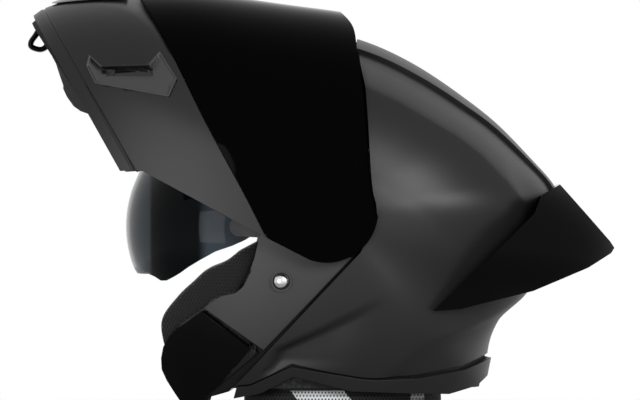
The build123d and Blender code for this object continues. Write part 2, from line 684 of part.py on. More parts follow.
# Release tab, a loop under the chin, on its cross pin
with BuildPart() as release_tab:
    with BuildSketch(side_plane(0)):
        with BuildLine():
            Polyline(*[at(share) for share in tab_outline_shares], close=True)
        make_face()
        with BuildLine():
            Polyline(*[at(share) for share in tab_hole_shares], close=True)
        make_face(mode=Mode.SUBTRACT)
        with Locations(tab_pivot):
            Circle(tab_pin_radius + bore_gap, mode=Mode.SUBTRACT)
    extrude(amount=tab_half_width, both=True)
finish(release_tab, "release_tab")
with BuildPart() as release_pin:
    with BuildSketch(side_plane(0)):
        with Locations(tab_pivot):
            Circle(tab_pin_radius)
    extrude(amount=notch_half_width + tab_pin_seat - bore_gap, both=True)
finish(release_pin, "release_pin")

# Latch hooks that the release tab turns, one on each arm
hook_space = chin_form(chin_wall + seat_gap + arm_wall + hook_gap)
for side, hand in ((-1, "left"), (1, "right")):
    with BuildPart() as latch_hook:
        add(side_disc(at(hook_pivot_share), hook_pivot_radius, hook_inner_y,
                      chin_half_width, side))
        add(hook_space, mode=Mode.INTERSECT)
        with BuildSketch(side_plane(side * hook_inner_y)):
            with BuildLine():
                Polyline(*[at(share) for share in hook_outline_shares], close=True)
            make_face()
        extrude(amount=hook_wall, dir=(0, side, 0))
    finish(latch_hook, f"latch_hook_{hand}")

# Chin strap halves, their rivets, and the buckle that joins them
for side, hand in ((-1, "left"), (1, "right")):
    with BuildPart() as chin_strap:
        with BuildSketch(Plane.YZ.offset(strap_x - strap_width / 2)):
            with BuildLine(mode=Mode.PRIVATE) as strap_line:
                FilletPolyline(*[(side * y, z) for y, z in strap_route], radius=strap_bend)
            trace(strap_line.line, line_width=strap_wall)
        extrude(amount=strap_width)
        add(side_disc((strap_x - pivot_x, rivet_height - pivot_height),
                      rivet_radius + bore_gap, 0, cut_reach, side), mode=Mode.SUBTRACT)
    finish(chin_strap, f"chin_strap_{hand}")
with BuildPart() as strap_rivets:
    for side in (-1, 1):
        spot = (strap_x - pivot_x, rivet_height - pivot_height)
        strap_face = strap_route[0][0] - strap_wall / 2 - rivet_seat
        add(side_disc(spot, rivet_radius, strap_face, rivet_reach, side))
        add(side_disc(spot, rivet_head_radius, strap_face - rivet_head_height, strap_face, side))
finish(strap_rivets, "strap_rivets")
strap_end_z = strap_route[-1][1]
buckle_z = strap_end_z - strap_wall / 2 - buckle_wall - seat_gap
lever_pin_z = strap_end_z + strap_wall / 2 + lever_gap + lever_height / 2
lever_half_width = buckle_width / 2 - buckle_wall - seat_gap
with BuildPart() as buckle_frame:
    with BuildSketch(Plane.XY.offset(buckle_z)):
        with Locations((strap_x, 0)):
            Rectangle(buckle_width, 2 * buckle_half_length)
    extrude(amount=buckle_wall)
    with BuildSketch(Plane.XY.offset(buckle_z)):
        for rim in (-1, 1):
            with Locations((strap_x + rim * (buckle_width - buckle_wall) / 2, 0)):
                Rectangle(buckle_wall, 2 * buckle_half_length)
    extrude(amount=buckle_height)
    fillet(buckle_frame.edges().filter_by(Axis.Z), radius=buckle_wall / 3)
    with BuildSketch(Plane.YZ.offset(strap_x)):
        with Locations((lever_pin_y, lever_pin_z)):
            Circle(lever_pin_radius + bore_gap)
    extrude(amount=buckle_width, both=True, mode=Mode.SUBTRACT)
finish(buckle_frame, "buckle_frame")

# Lever of the buckle, which turns on its pin in the frame's rims
with BuildPart() as buckle_lever:
    with BuildSketch(Plane.YZ.offset(strap_x)):
        with Locations((lever_pin_y - lever_length / 2, lever_pin_z)):
            SlotCenterToCenter(lever_length, lever_height)
    extrude(amount=lever_half_width, both=True)
    with BuildSketch(Plane.YZ.offset(strap_x)):
        with Locations((lever_pin_y, lever_pin_z)):
            Circle(lever_pin_radius)
    extrude(amount=buckle_width / 2, both=True)
finish(buckle_lever, "buckle_lever")
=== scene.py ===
import bpy
import bmesh
import json
import math
import numpy as np
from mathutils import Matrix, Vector


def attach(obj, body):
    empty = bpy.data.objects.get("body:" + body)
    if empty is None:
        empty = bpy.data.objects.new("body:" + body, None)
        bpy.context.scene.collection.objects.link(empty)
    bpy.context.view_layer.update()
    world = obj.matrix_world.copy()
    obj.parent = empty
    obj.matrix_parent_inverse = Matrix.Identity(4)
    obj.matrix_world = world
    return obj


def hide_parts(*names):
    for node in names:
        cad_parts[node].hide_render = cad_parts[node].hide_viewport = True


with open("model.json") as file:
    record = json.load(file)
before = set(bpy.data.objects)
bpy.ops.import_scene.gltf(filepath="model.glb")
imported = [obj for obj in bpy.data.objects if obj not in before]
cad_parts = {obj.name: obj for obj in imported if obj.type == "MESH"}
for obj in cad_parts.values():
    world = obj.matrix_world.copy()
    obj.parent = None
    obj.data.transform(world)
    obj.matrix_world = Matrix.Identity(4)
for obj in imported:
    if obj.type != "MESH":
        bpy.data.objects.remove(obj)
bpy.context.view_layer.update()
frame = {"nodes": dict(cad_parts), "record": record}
scene = bpy.context.scene
print("frame loaded:", len(frame["nodes"]), "parts")

helmet = {
    "crownRadius": 0.117,  # share 1.0 of every side outline
    "pivotX": 0.0045,
    "pivotZ": 0.132,
    "roundness": 2.3,  # across the width, 2 is an ellipse
}
crown = helmet["crownRadius"]
pivot = np.array([helmet["pivotX"], helmet["pivotZ"]])
roundness = helmet["roundness"]
rightAngle = math.pi / 2
hands = ((-1, "left"), (1, "right"))


# Cubic curve through points, by chord length, sampled evenly; closed joins the ends with no kink.
def throughPoints(points, samples, closed=False):
    spots = np.asarray(points, float)
    if closed:
        spots = np.vstack([spots, spots[:1]])
    step = np.linalg.norm(np.diff(spots, axis=0), axis=1)
    reach = np.r_[0, np.cumsum(step)]
    count = len(spots)
    slope = np.diff(spots, axis=0) / step[:, None]
    left, right = np.zeros((count, count)), np.zeros((count, spots.shape[1]))
    k = np.arange(1, count - 1)
    left[k, k - 1], left[k, k], left[k, k + 1] = step[k - 1], 2 * (step[k - 1] + step[k]), step[k]
    right[k] = 6 * (slope[k] - slope[k - 1])
    left[0, 0], left[-1, -1] = 1, 1
    if closed:
        left[0, -1] = -1
        left[-1, [0, 1, -2, -1]] = [2 * step[0], step[0], step[-1], 2 * step[-1]]
        right[-1] = 6 * (slope[0] - slope[-1])
    bend = np.linalg.solve(left, right)
    at = np.linspace(0, reach[-1], samples)
    k = np.clip(np.searchsorted(reach, at, side="right") - 1, 0, count - 2)
    a, b = (reach[k + 1] - at) / step[k], (at - reach[k]) / step[k]
    a, b = a[:, None], b[:, None]
    return (a * spots[k] + b * spots[k + 1]
            + ((a ** 3 - a) * bend[k] + (b ** 3 - b) * bend[k + 1]) * step[k][:, None] ** 2 / 6)


# Places in the side view, in thousandths of the crown radius about the pivot, forward negative.
def marks(*numbers):
    return np.reshape(numbers, (-1, 2)) / 1000


# The same by degrees about the pivot and thousandths of the crown radius.
def turns(*numbers):
    return np.reshape(numbers, (-1, 2)) / [1, 1000]


# Shares from 0 to 1: even ones for a count, or the given ones.
def spread(places):
    return np.linspace(0, 1, places) if isinstance(places, int) else np.asarray(places)


# Even shares with an extra one close to both ends, where an edge is rounded.
def edgeShares(count, near=0.006):
    return np.r_[0, np.linspace(near, 1 - near, count - 2), 1]


# Length from the start of a polyline to each of its points.
def lengths(line):
    return np.r_[0, np.cumsum(np.linalg.norm(np.diff(line, axis=0), axis=1))]


# Points along a polyline, at shares of its length.
def evenly(line, places):
    line = np.asarray(line, float)
    reach = lengths(line)
    at = spread(places) * reach[-1]
    return np.stack([np.interp(at, reach, line[:, k]) for k in range(line.shape[1])], -1)


# A body with one side outline that shrinks toward both sides. Its map is a flat disc: the angle is
# the angle about the centre, the middle is the side's pole, and the rim is the centre line.
class Form:
    def __init__(self, outline, halfWidth, inset=0.0, centre=pivot):
        self.centre = centre
        self.core = (centre[0], 0, centre[1])
        self.halfWidth = halfWidth - inset
        angle, share = np.radians(outline[:, 0]), outline[:, 1:]
        line = throughPoints(crown * share * np.stack([np.cos(angle), np.sin(angle)], 1), 2400,
                             closed=True)
        turned = np.mod(np.arctan2(line[:, 1], line[:, 0]), 2 * math.pi)
        order = np.argsort(turned)
        self.angles = turned[order]
        self.radii = np.hypot(line[:, 0], line[:, 1])[order] - inset

    def radius(self, angle):
        return np.interp(np.mod(angle, 2 * math.pi), self.angles, self.radii,
                         period=2 * math.pi)

    # angle about the centre of side-view places, and the share of the outline's radius
    def polar(self, shares):
        spot = np.asarray(shares, float) * crown + pivot - self.centre
        angle = np.arctan2(spot[:, 1], spot[:, 0])
        return angle, np.hypot(spot[:, 0], spot[:, 1]) / self.radius(angle)

    # side-view place, in shares about the pivot, to the disc
    def flat(self, shares):
        angle, full = self.polar(shares)
        turn = np.arcsin(np.minimum(full, 1) ** (roundness / 2))
        return turn[:, None] * np.stack([np.cos(angle), np.sin(angle)], 1)

    # disc to space: radius = (outline - inset) sin^(2/n), width = (half width - inset) cos^(2/n)
    def place(self, disc, side, inset=0.0):
        angle = np.arctan2(disc[..., 1], disc[..., 0])
        turn = np.minimum(np.hypot(disc[..., 0], disc[..., 1]), rightAngle)
        reach = (self.radius(angle) - inset) * np.sin(turn) ** (2 / roundness)
        wide = (self.halfWidth - inset) * np.maximum(np.cos(turn), 0) ** (2 / roundness)
        wide = np.where(turn > rightAngle - 1e-6, 0, wide)
        return np.stack([self.centre[0] + reach * np.cos(angle), side * wide,
                         self.centre[1] + reach * np.sin(angle)], -1)

    # side outline from shares to the disc; it is cut where it meets the centre line
    def edge(self, shares, places, curved=False):
        line = throughPoints(shares, 600) if curved else evenly(shares, 600)
        _, full = self.polar(line)
        k = int(np.argmax(full >= 1))
        if k:
            mix = (1 - full[k - 1]) / (full[k] - full[k - 1])
            line = np.vstack([line[:k], line[k - 1] + mix * (line[k] - line[k - 1])])
        flat = self.flat(line)
        if k:
            flat[-1] *= rightAngle / np.linalg.norm(flat[-1])
        return evenly(flat, places)

    def edges(self, values, places, *keys, curved=False):
        return [self.edge(values[key], places, curved) for key in keys]

    # side-view place of disc points, in shares about the pivot
    def shares(self, disc):
        return (self.place(disc, 1)[..., [0, 2]] - pivot) / crown


# Arc of the disc's rim, which is the centre line, between two disc points.
def rimArc(start, end, places):
    a, b = math.atan2(start[1], start[0]), math.atan2(end[1], end[0])
    b = a + (b - a + math.pi) % (2 * math.pi) - math.pi
    angle = a + (b - a) * spread(places)
    return rightAngle * np.stack([np.cos(angle), np.sin(angle)], 1)


# Patch between four edges: the two blends of opposite edges less the blend of the corners.
def patch(low, high, start, end, across, along):
    u, v = spread(across)[None, :, None], spread(along)[:, None, None]
    corners = ((1 - u) * (1 - v) * low[0] + u * (1 - v) * low[-1]
               + (1 - u) * v * high[0] + u * v * high[-1])
    return ((1 - v) * low[None] + v * high[None] + (1 - u) * start[:, None]
            + u * end[:, None] - corners)


# Patch that rises from its foot between two edges to the centre line.
def patchToRim(foot, start, end, across, along):
    return patch(foot, rimArc(start[-1], end[-1], across), start, end, across, along)


# Evens out a grid with fixed edges: every point moves to the mean of its neighbours, weighted by
# how far apart the rows and the columns lie there, less their twist.
def relaxed(grid, rounds=160):
    grid = grid.copy()
    for _ in range(rounds):
        du = (grid[1:-1, 2:] - grid[1:-1, :-2]) / 2
        dv = (grid[2:, 1:-1] - grid[:-2, 1:-1]) / 2
        a, c = (dv * dv).sum(-1)[..., None], (du * du).sum(-1)[..., None]
        lean = (du * dv).sum(-1)[..., None]
        twist = (grid[2:, 2:] - grid[2:, :-2] - grid[:-2, 2:] + grid[:-2, :-2]) / 2
        grid[1:-1, 1:-1] = (a * (grid[1:-1, 2:] + grid[1:-1, :-2])
                            + c * (grid[2:, 1:-1] + grid[:-2, 1:-1])
                            - lean * twist) / (2 * (a + c) + 1e-12)
    return grid


# Patch from a foot and a side, which share a corner, to the centre line, where its fourth corner
# lies at the given turn.
def patchToCorner(form, foot, side, turn, across, along, rounds):
    low, start = form.edge(foot, across), form.edge(side, along)
    turn = math.radians(turn)
    far = rightAngle * np.array([math.cos(turn), math.sin(turn)])
    end, high = rimArc(low[-1], far, along), rimArc(start[-1], far, across)
    return relaxed(patch(low, high, start, end, across, along), rounds)


# Patch between the side outlines low, high, start and end.
def patchBetween(form, values, across, along):
    low, high = form.edges(values, across, "low", "high")
    start, end = form.edges(values, along, "start", "end")
    return patch(low, high, start, end, across, along)


# Band between two side outlines: it starts straight and ends on the centre line.
def band(form, values, across, along):
    low, high = form.edges(values, across, "low", "high")
    start = evenly([low[0], high[0]], along)
    return patch(low, high, start, rimArc(low[-1], high[-1], along), across, along)


# Distance in metres of side-view points to an open polyline, and which side of it they lie on.
def lineDistance(spots, line):
    line = np.asarray(line, float)
    a, d = line[:-1], np.diff(line, axis=0)
    rel = spots[..., None, :] - a
    share = np.clip((rel * d).sum(-1) / (d * d).sum(-1), 0, 1)
    gap = rel - share[..., None] * d
    dist = np.hypot(gap[..., 0], gap[..., 1])
    best = dist.argmin(-1)
    cross = d[:, 0] * rel[..., 1] - d[:, 1] * rel[..., 0]
    pick = np.take_along_axis(cross, best[..., None], -1)[..., 0]
    return dist.min(-1) * crown, np.where(pick < 0, -1.0, 1.0)


# Signed distance in metres to a closed outline, positive inside.
def insideDistance(spots, outline):
    ring = np.vstack([outline, outline[:1]])
    dist, _ = lineDistance(spots, ring)
    x, y = spots[..., 0, None], spots[..., 1, None]
    a, b = ring[:-1], ring[1:]
    crossing = (a[:, 1] > y) != (b[:, 1] > y)
    height = np.where(b[:, 1] == a[:, 1], 1, b[:, 1] - a[:, 1])
    left = x < (b[:, 0] - a[:, 0]) * (y - a[:, 1]) / height + a[:, 0]
    inside = (crossing & left).sum(-1) % 2 == 1
    return np.where(inside, dist, -dist)


def smooth(x):
    x = np.clip(x, 0, 1)
    return x * x * (3 - 2 * x)


# 0 before the first value of the pair, 1 past the second one, whichever of them is larger.
def between(x, pair):
    return smooth((x - pair[0]) / (pair[1] - pair[0]))


# Wave with its sign kept, raised to a power: under 1 it fills out toward a square.
def filled(wave, power):
    return np.sign(wave) * np.abs(wave) ** power


# Mesh from grids of points, its faces away from the inside point. weave gives every grid its flat
# places in metres, as the UV map.
def gridPiece(name, grids, inside=None, closed=(False, False), weave=None):
    verts, faces, base = [], [], 0
    for grid in grids:
        rows, cols = grid.shape[:2]
        number = np.arange(rows * cols).reshape(rows, cols) + base
        if closed[0]:
            number = np.vstack([number, number[:1]])
        if closed[1]:
            number = np.hstack([number, number[:, :1]])
        quad = np.stack([number[:-1, :-1], number[:-1, 1:], number[1:, 1:], number[1:, :-1]], -1)
        quad = quad.reshape(-1, 4)
        flatGrid = grid.reshape(-1, 3)
        if inside is not None:
            p = flatGrid[quad - base]
            normal = np.cross(p[:, 2] - p[:, 0], p[:, 3] - p[:, 1])
            if (normal * (p.mean(1) - np.asarray(inside))).sum() < 0:
                quad = quad[:, ::-1]
        verts.append(flatGrid)
        faces.append(quad)
        base += rows * cols
    faces = np.vstack(faces)
    mesh = bpy.data.meshes.new(name)
    mesh.from_pydata(np.vstack(verts).tolist(), [], faces.tolist())
    if weave is not None:
        flat = np.vstack([w.reshape(-1, 2) for w in weave])
        mesh.uv_layers.new(name="weave").data.foreach_set("uv", flat[faces].ravel())
    obj = bpy.data.objects.new(name, mesh)
    scene.collection.objects.link(obj)
    weld(obj)
    mesh.shade_smooth()
    return obj


# Merges doubles and drops faces that the merge flattens.
def weld(obj, gap=1e-5, recalculate=False):
    edit = bmesh.new()
    edit.from_mesh(obj.data)
    bmesh.ops.remove_doubles(edit, verts=edit.verts, dist=gap)
    bmesh.ops.dissolve_degenerate(edit, edges=edit.edges, dist=1e-7)
    if recalculate:
        bmesh.ops.recalc_face_normals(edit, faces=edit.faces)
    edit.to_mesh(obj.data)
    edit.free()
    return obj


def modifier(obj, kind, **settings):
    made = obj.modifiers.new(kind.lower(), kind)
    for key, value in settings.items():
        setattr(made, key, value)


# Gives an open skin its wall, inward, and rounds the edges.
def wall(obj, thick, edge, segments=3):
    modifier(obj, "SOLIDIFY", thickness=thick, offset=-1.0)
    if edge:
        modifier(obj, "BEVEL", width=edge, segments=segments, limit_method="ANGLE",
                 angle_limit=math.radians(50), use_clamp_overlap=True)
        modifier(obj, "WEIGHTED_NORMAL", keep_sharp=False, weight=60)
    return obj


# Walled piece from a patch on the sides of a form; inset is one number or one for every point.
def formPiece(name, form, disc, values, inset=0.0, sides=(-1, 1), segments=3):
    obj = gridPiece(name, [form.place(disc, side, inset) for side in sides], form.core)
    return wall(obj, values["wall"], values["edge"], segments)


def finishPiece(obj, body, paint, slot, *nodes):
    obj.data.materials.clear()
    obj.data.materials.append(paints[paint])
    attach(obj, body)
    if nodes:
        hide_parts(*nodes)
    return obj


def operator(name):
    return lambda value, other: value.maths(name, other)


# One shader socket that is used like a number.
class Value:
    def __init__(self, paint, socket):
        self.paint, self.socket = paint, socket

    def maths(self, operation, *others):
        return self.paint.maths(operation, self, *others)

    def __rsub__(self, other):
        return self.paint.maths("SUBTRACT", other, self)

    __add__ = __radd__ = operator("ADD")
    __sub__ = operator("SUBTRACT")
    __mul__ = operator("MULTIPLY")
    __truediv__ = operator("DIVIDE")
    __pow__ = operator("POWER")
    __lt__ = operator("LESS_THAN")
    __gt__ = operator("GREATER_THAN")

    def within(self, pair):
        return (self > pair[0]) * (self < pair[1])

    # 0 at low, 1 at high, smooth between
    def ramp(self, low, high):
        return self.paint.node("ShaderNodeMapRange", {"interpolation_type": "SMOOTHSTEP"},
                               {0: self, 1: low, 2: high, 3: 0.0, 4: 1.0})


class Paint:
    def __init__(self, name):
        self.material = bpy.data.materials.new(name)
        self.material.use_nodes = True
        self.tree = self.material.node_tree
        self.tree.nodes.clear()
        self.output = self.tree.nodes.new("ShaderNodeOutputMaterial")

    # a node of any type: its settings first, then its sockets' values or links
    def node(self, kind, settings=None, sockets=None, out=0):
        made = self.tree.nodes.new(kind)
        for key, value in (settings or {}).items():
            setattr(made, key, value)
        for key, value in (sockets or {}).items():
            if isinstance(value, Value):
                self.tree.links.new(value.socket, made.inputs[key])
            else:
                made.inputs[key].default_value = value
        return Value(self, made.outputs[out])

    def maths(self, operation, *values):
        return self.node("ShaderNodeMath", {"operation": operation}, dict(enumerate(values)))

    def place(self):
        return self.node("ShaderNodeTexCoord", out=3)

    def weave(self):
        return self.node("ShaderNodeTexCoord", out=2)

    def axes(self, vector):
        split = self.tree.nodes.new("ShaderNodeSeparateXYZ")
        self.tree.links.new(vector.socket, split.inputs[0])
        return [Value(self, split.outputs[k]) for k in range(3)]

    def noise(self, scale, detail=2.0):
        return self.node("ShaderNodeTexNoise", {},
                         {"Vector": self.place(), "Scale": scale, "Detail": detail})

    def cells(self, scale):
        return self.node("ShaderNodeTexVoronoi", {}, {"Vector": self.place(), "Scale": scale})

    # mix of two colours, each a triple or a socket
    def colour(self, mask, *pair):
        first, second = [c if isinstance(c, Value) else (*c, 1) for c in pair]
        return self.node("ShaderNodeMix", {"data_type": "RGBA"},
                         {0: mask, 6: first, 7: second}, out=2)

    def bump(self, height, distance, strength):
        return self.node("ShaderNodeBump", {}, {"Height": height, "Distance": distance,
                                                "Strength": strength})

    # the shader: its tone and its roughness may be plain or links, more sockets go by name
    def surface(self, tone, rough, specular=0.5, normal=None, **more):
        sockets = {"Base Color": tone if isinstance(tone, Value) else (*tone, 1),
                   "Roughness": rough, "Specular IOR Level": specular}
        if normal:
            sockets["Normal"] = normal
        sockets |= {key.replace("_", " ").title(): value for key, value in more.items()}
        made = self.node("ShaderNodeBsdfPrincipled", {}, sockets)
        self.tree.links.new(made.socket, self.output.inputs[0])
        return self.material


satin = {
    "grainScale": 2600,
    "grainDepth": 0.00004,
    "grainSpread": 0.12,  # of the roughness
    "cloudScale": 9,
}


# Satin coat: a fine grain in its roughness and its relief.
def satinCoat(paint, tone, rough, specular):
    grain = paint.noise(satin["grainScale"], 1.0)
    return paint.surface(tone, rough + (grain - 0.5) * satin["grainSpread"], specular,
                         paint.bump(grain, satin["grainDepth"], 0.5))


# Satin paint: its tone drifts in wide clouds by the share fleck, up and down.
def satinPaint(name, colour, rough, fleck, specular):
    paint = Paint(name)
    cloud = paint.noise(satin["cloudScale"], 3.0)
    tone = paint.colour(cloud.ramp(0.35, 0.65), [c * (1 - fleck) for c in colour],
                        [c * (1 + fleck) for c in colour])
    return satinCoat(paint, tone, rough, specular)


def glossPlastic(name, colour, rough, specular):
    paint = Paint(name)
    haze = paint.noise(scale=420, detail=3.0)
    return paint.surface(colour, rough + haze * 0.03, specular,
                         paint.bump(paint.noise(scale=55), 0.0002, 0.05))


def moulded(name, colour):
    paint = Paint(name)
    grain = paint.cells(1500.0)
    return paint.surface(colour, 0.5 + grain * 0.15, 0.35, paint.bump(grain, 0.00006, 0.6))


def brightSteel(name):
    paint = Paint(name)
    scratch = paint.noise(scale=700, detail=4.0)
    return paint.surface((0.62, 0.62, 0.63), 0.16 + scratch * 0.08, metallic=1.0)


def beadFoam(name):
    paint = Paint(name)
    bead = paint.cells(330.0)
    tone = paint.colour(bead.ramp(0.1, 0.7), (0.022, 0.022, 0.023), (0.008, 0.008, 0.008))
    return paint.surface(tone, 0.85, 0.25, paint.bump(1 - bead, 0.0004, 0.6))


# Round holes in a staggered grid: 1 in a hole, 0 on the thread between; solid and clear are the
# radii where the thread and the clear hole begin, in shares of the pitch.
def holes(u, v, pitch, solid, clear):
    row = v / pitch
    shift = row.maths("FLOOR").maths("PINGPONG", 1.0) * 0.5
    x = (u / pitch + shift).maths("FRACT") - 0.5
    y = row.maths("FRACT") - 0.5
    return ((x * x + y * y) ** 0.5).ramp(solid, clear)


def knit(paint, tone, hole, sheen, specular, depth, strength):
    fibre = paint.noise(scale=1800, detail=3.0)
    return paint.surface(tone, 0.82 + fibre * 0.12, specular,
                         paint.bump(fibre * 0.3 - hole, depth, strength),
                         sheen_weight=sheen, sheen_roughness=0.4)


# Knitted mesh with small dark holes, laid out by the piece's own UV in metres.
def meshCloth(name, thread, dark, pitch=0.0022):
    paint = Paint(name)
    u, v, _ = paint.axes(paint.weave())
    hole = holes(u, v, pitch, 0.34, 0.2)
    return knit(paint, paint.colour(hole, thread, dark), hole, 0.25, 0.2, 0.0005, 0.7)


neckInsert = {
    "pitch": 0.0022,
    "x": (-0.0137, 0.0213),  # at half height, and how far it leans with the height
    "lean": 0.8,
    "halfHeight": 0.008,
    "z": (0.0045, 0.0150),
    "leastY": 0.080,
    "piping": [(0.0595, 0.0685), (-0.0705, -0.0645)],
    "pipingZ": (0.0085, 0.0125),
}


# Black mesh with a pale perforated insert on both sides and thin pale piping bits beside it.
def neckCloth(name, values=neckInsert):
    paint = Paint(name)
    x, y, z = paint.axes(paint.place())
    across = x + (z - values["halfHeight"]) * values["lean"]
    pale = across.within(values["x"]) * z.within(values["z"])
    pale = pale * ((y * y) ** 0.5 > values["leastY"])
    front, rear = [x.within(pair) for pair in values["piping"]]
    bit = (front + rear) * z.within(values["pipingZ"])
    # half a metre keeps the places positive
    hole = holes(x + 0.5, z + 0.5, values["pitch"], 0.34, 0.22)
    dark = paint.colour(hole, (0.016, 0.016, 0.017), (0.002, 0.002, 0.002))
    light = paint.colour(hole, (0.52, 0.53, 0.54), (0.05, 0.05, 0.05))
    tone = paint.colour(pale.maths("MAXIMUM", bit), dark, light)
    return knit(paint, tone, hole, 0.2, 0.15, 0.0004, 0.6)


# Webbing: diagonal ribs across the strap, from its UV in metres.
def webCloth(name, colour):
    paint = Paint(name)
    u, v, _ = paint.axes(paint.weave())
    rib = (u * 2400 + v * 900).maths("SINE")
    cross = (v * 3000).maths("SINE")
    cloth = rib * 0.5 + cross * 0.25 + 0.5
    tone = paint.colour(cloth, [c * 0.6 for c in colour], [c * 1.3 for c in colour])
    return paint.surface(tone, 0.75, 0.25, paint.bump(cloth, 0.0003, 0.7))


# Clearer at the front band and near the ear, and painted paler and bluish there as painted light
# seen through the lens, by X where each change begins and ends.
lensSeenLight = {"front": (-0.1095, -0.1120), "ear": (-0.080, -0.072)}


def tintedLens(name):
    paint = Paint(name)
    x, _, _ = paint.axes(paint.place())
    front, ear = x.ramp(*lensSeenLight["front"]), x.ramp(*lensSeenLight["ear"])
    haze = paint.noise(scale=300)
    # painted light: the tone rises from near black to a pale blue at the front band and the ear
    tone = paint.colour(front + ear, (0.002, 0.0025, 0.003), (0.035, 0.045, 0.055))
    return paint.surface(tone, 0.05 + haze * 0.02, 0.05,
                         alpha=0.98 - front * 0.32 - ear * 0.10)


# The open slot above the wedge is painted black, as painted shade in the opening: its soft
# borders, and how much it climbs.
slotShade = {
    "front": (-0.1428, -0.1420),
    "rear": (-0.1106, -0.1114),
    "low": (0.2210, 0.2216),
    "high": (0.2290, 0.2284),
    "start": -0.1424,
    "lean": 0.064,
}


# Vent paint: its tone is a lighter copy of the shell's matte black, painted light, and its open
# slot is painted shade.
def ventLightAndShade(name):
    paint = Paint(name)
    x, _, z = paint.axes(paint.place())
    height = z - (x - slotShade["start"]) * slotShade["lean"]
    # painted shade: inside this mask the tone drops to near black where the slot opens
    slot = x.ramp(*slotShade["front"]) * x.ramp(*slotShade["rear"])
    slot = slot * height.ramp(*slotShade["low"]) * height.ramp(*slotShade["high"])
    tone = paint.colour(slot, (0.030, 0.030, 0.031), (0.0006, 0.0006, 0.0006))
    return satinCoat(paint, tone, 0.34, 0.35)


paints = {
    "shell": satinPaint("satin shell paint", (0.008, 0.008, 0.0083), 0.39, 0.12, 0.20),
    "chin": satinPaint("satin chin bar paint", (0.008, 0.008, 0.0083), 0.39, 0.12, 0.20),
    "vent": ventLightAndShade("vent painted light and shade"),
    "panel": satinPaint("satin side panel", (0.020, 0.020, 0.0205), 0.48, 0.12, 0.25),
    "gloss": glossPlastic("gloss black trim", (0.0015, 0.0015, 0.0017), 0.08, 0.05),
    "visor": glossPlastic("dark visor", (0.0006, 0.0006, 0.0007), 0.03, 0.012),
    # painted shade: the recessed front is darker and less glossy than the shell paint
    "under": satinPaint("recess painted shade", (0.006, 0.006, 0.0062), 0.5, 0.1, 0.10),
    # painted shade: the spine is darker than the shell paint, for the top that faces away from the
    # lamps
    "spine": satinPaint("spine painted shade", (0.006, 0.006, 0.0062), 0.40, 0.12, 0.20),
    "guard": glossPlastic("smooth cheek guard", (0.0015, 0.0015, 0.0017), 0.18, 0.06),
    "moulded": moulded("moulded black", (0.012, 0.012, 0.013)),
    "steel": brightSteel("bright steel"),
    "foam": beadFoam("black bead foam"),
    "cloth": meshCloth("black mesh cloth", (0.007, 0.007, 0.0075), (0.001, 0.001, 0.001)),
    "neck": neckCloth("neck roll cloth"),
    "webbing": webCloth("woven webbing", (0.016, 0.016, 0.017)),
    "rubber": moulded("soft rubber", (0.004, 0.004, 0.0042)),
    "lens": tintedLens("smoked lens"),
}
partPaint = {
    "matte_black": "shell", "matte_grey": "panel", "gloss_black": "gloss", "dark_visor": "visor",
    "smoked_lens": "lens", "steel": "steel", "moulded_black": "moulded", "foam": "foam",
    "black_fabric": "cloth", "webbing": "webbing", "black_rubber": "rubber",
}
slotOf = {row["node"]: row["material_slot"] for row in frame["record"]["subparts"]}
for name, node in frame["nodes"].items():
    node.data.materials.clear()
    node.data.materials.append(paints[partPaint[slotOf[name]]])
print("finishes")


# the forms, as in the parts: angle about the pivot in degrees, radius in shares
shellOutline = turns(
    98, 1000, 116, 1018, 136, 1042, 157, 1080, 175, 1130, -167, 1220, -150, 1370, -135, 1520,
    -120, 1630, -90, 1670, -65, 1530, -50, 1360, -41, 1225, -32, 1180, -22, 1220, -8, 1285,
    2, 1300, 7.3, 1256, 10.9, 1208, 16, 1147, 28, 1048, 40, 978, 52, 945, 66, 940, 82, 965)
chinOutline = turns(
    83, 1115, 98, 1160, 112, 1289, 122, 1450, 132, 1660, 140, 1870, 147, 2000, 156, 2010,
    170, 1950, 190, 1850, 210, 1710, 230, 1560, 250, 1440, 275, 1350, 300, 1290, 330, 1250,
    360, 1220, 390, 1180, 418, 1130)
headOutline = turns(
    158, 800, 135, 680, 115, 628, 98, 609, 80, 609, 61, 637, 45, 688, 28, 773, 10, 857, -5, 891,
    -20, 860, -35, 850, -50, 950, -65, 1210, -80, 1470, -100, 1640, -120, 1640, -140, 1530,
    -160, 1350, 180, 1120, 169, 930)
chinHalfWidth = 0.126
shellForm = Form(shellOutline, 0.1235)
recessForm = Form(shellOutline, 0.1145, 0.002)
chinForm = Form(chinOutline, chinHalfWidth)
visorForm = Form(chinOutline, chinHalfWidth, -0.001)
headForm = Form(headOutline, 0.082)

ventValues = {
    "low": marks(-1289, 711, -877, 637),
    "high": marks(-1323, 874, -1255, 812, -990, 818, -928, 891),
    "start": marks(-1289, 711, -1340, 812, -1323, 874),
    "end": marks(-877, 637, -832, 739, -928, 891),
    "slopes": (0.349, 0.621, 0.389),
    "deepest": 0.0056,
    "lip": (0.0009, 0.0012),  # its inner border
    "lipRise": 0.0005,
    "slot": marks(-1252, 806, -992, 812, -990, 772, -1250, 760),
    "slotDrop": 0.0012,
    "slotEdge": 0.0006,
    "wall": 0.0012, "edge": 0.0004,
}
ventOutline = np.vstack([ventValues["low"], ventValues["end"][1:], ventValues["high"][-2::-1],
                         ventValues["start"][-2:0:-1]])

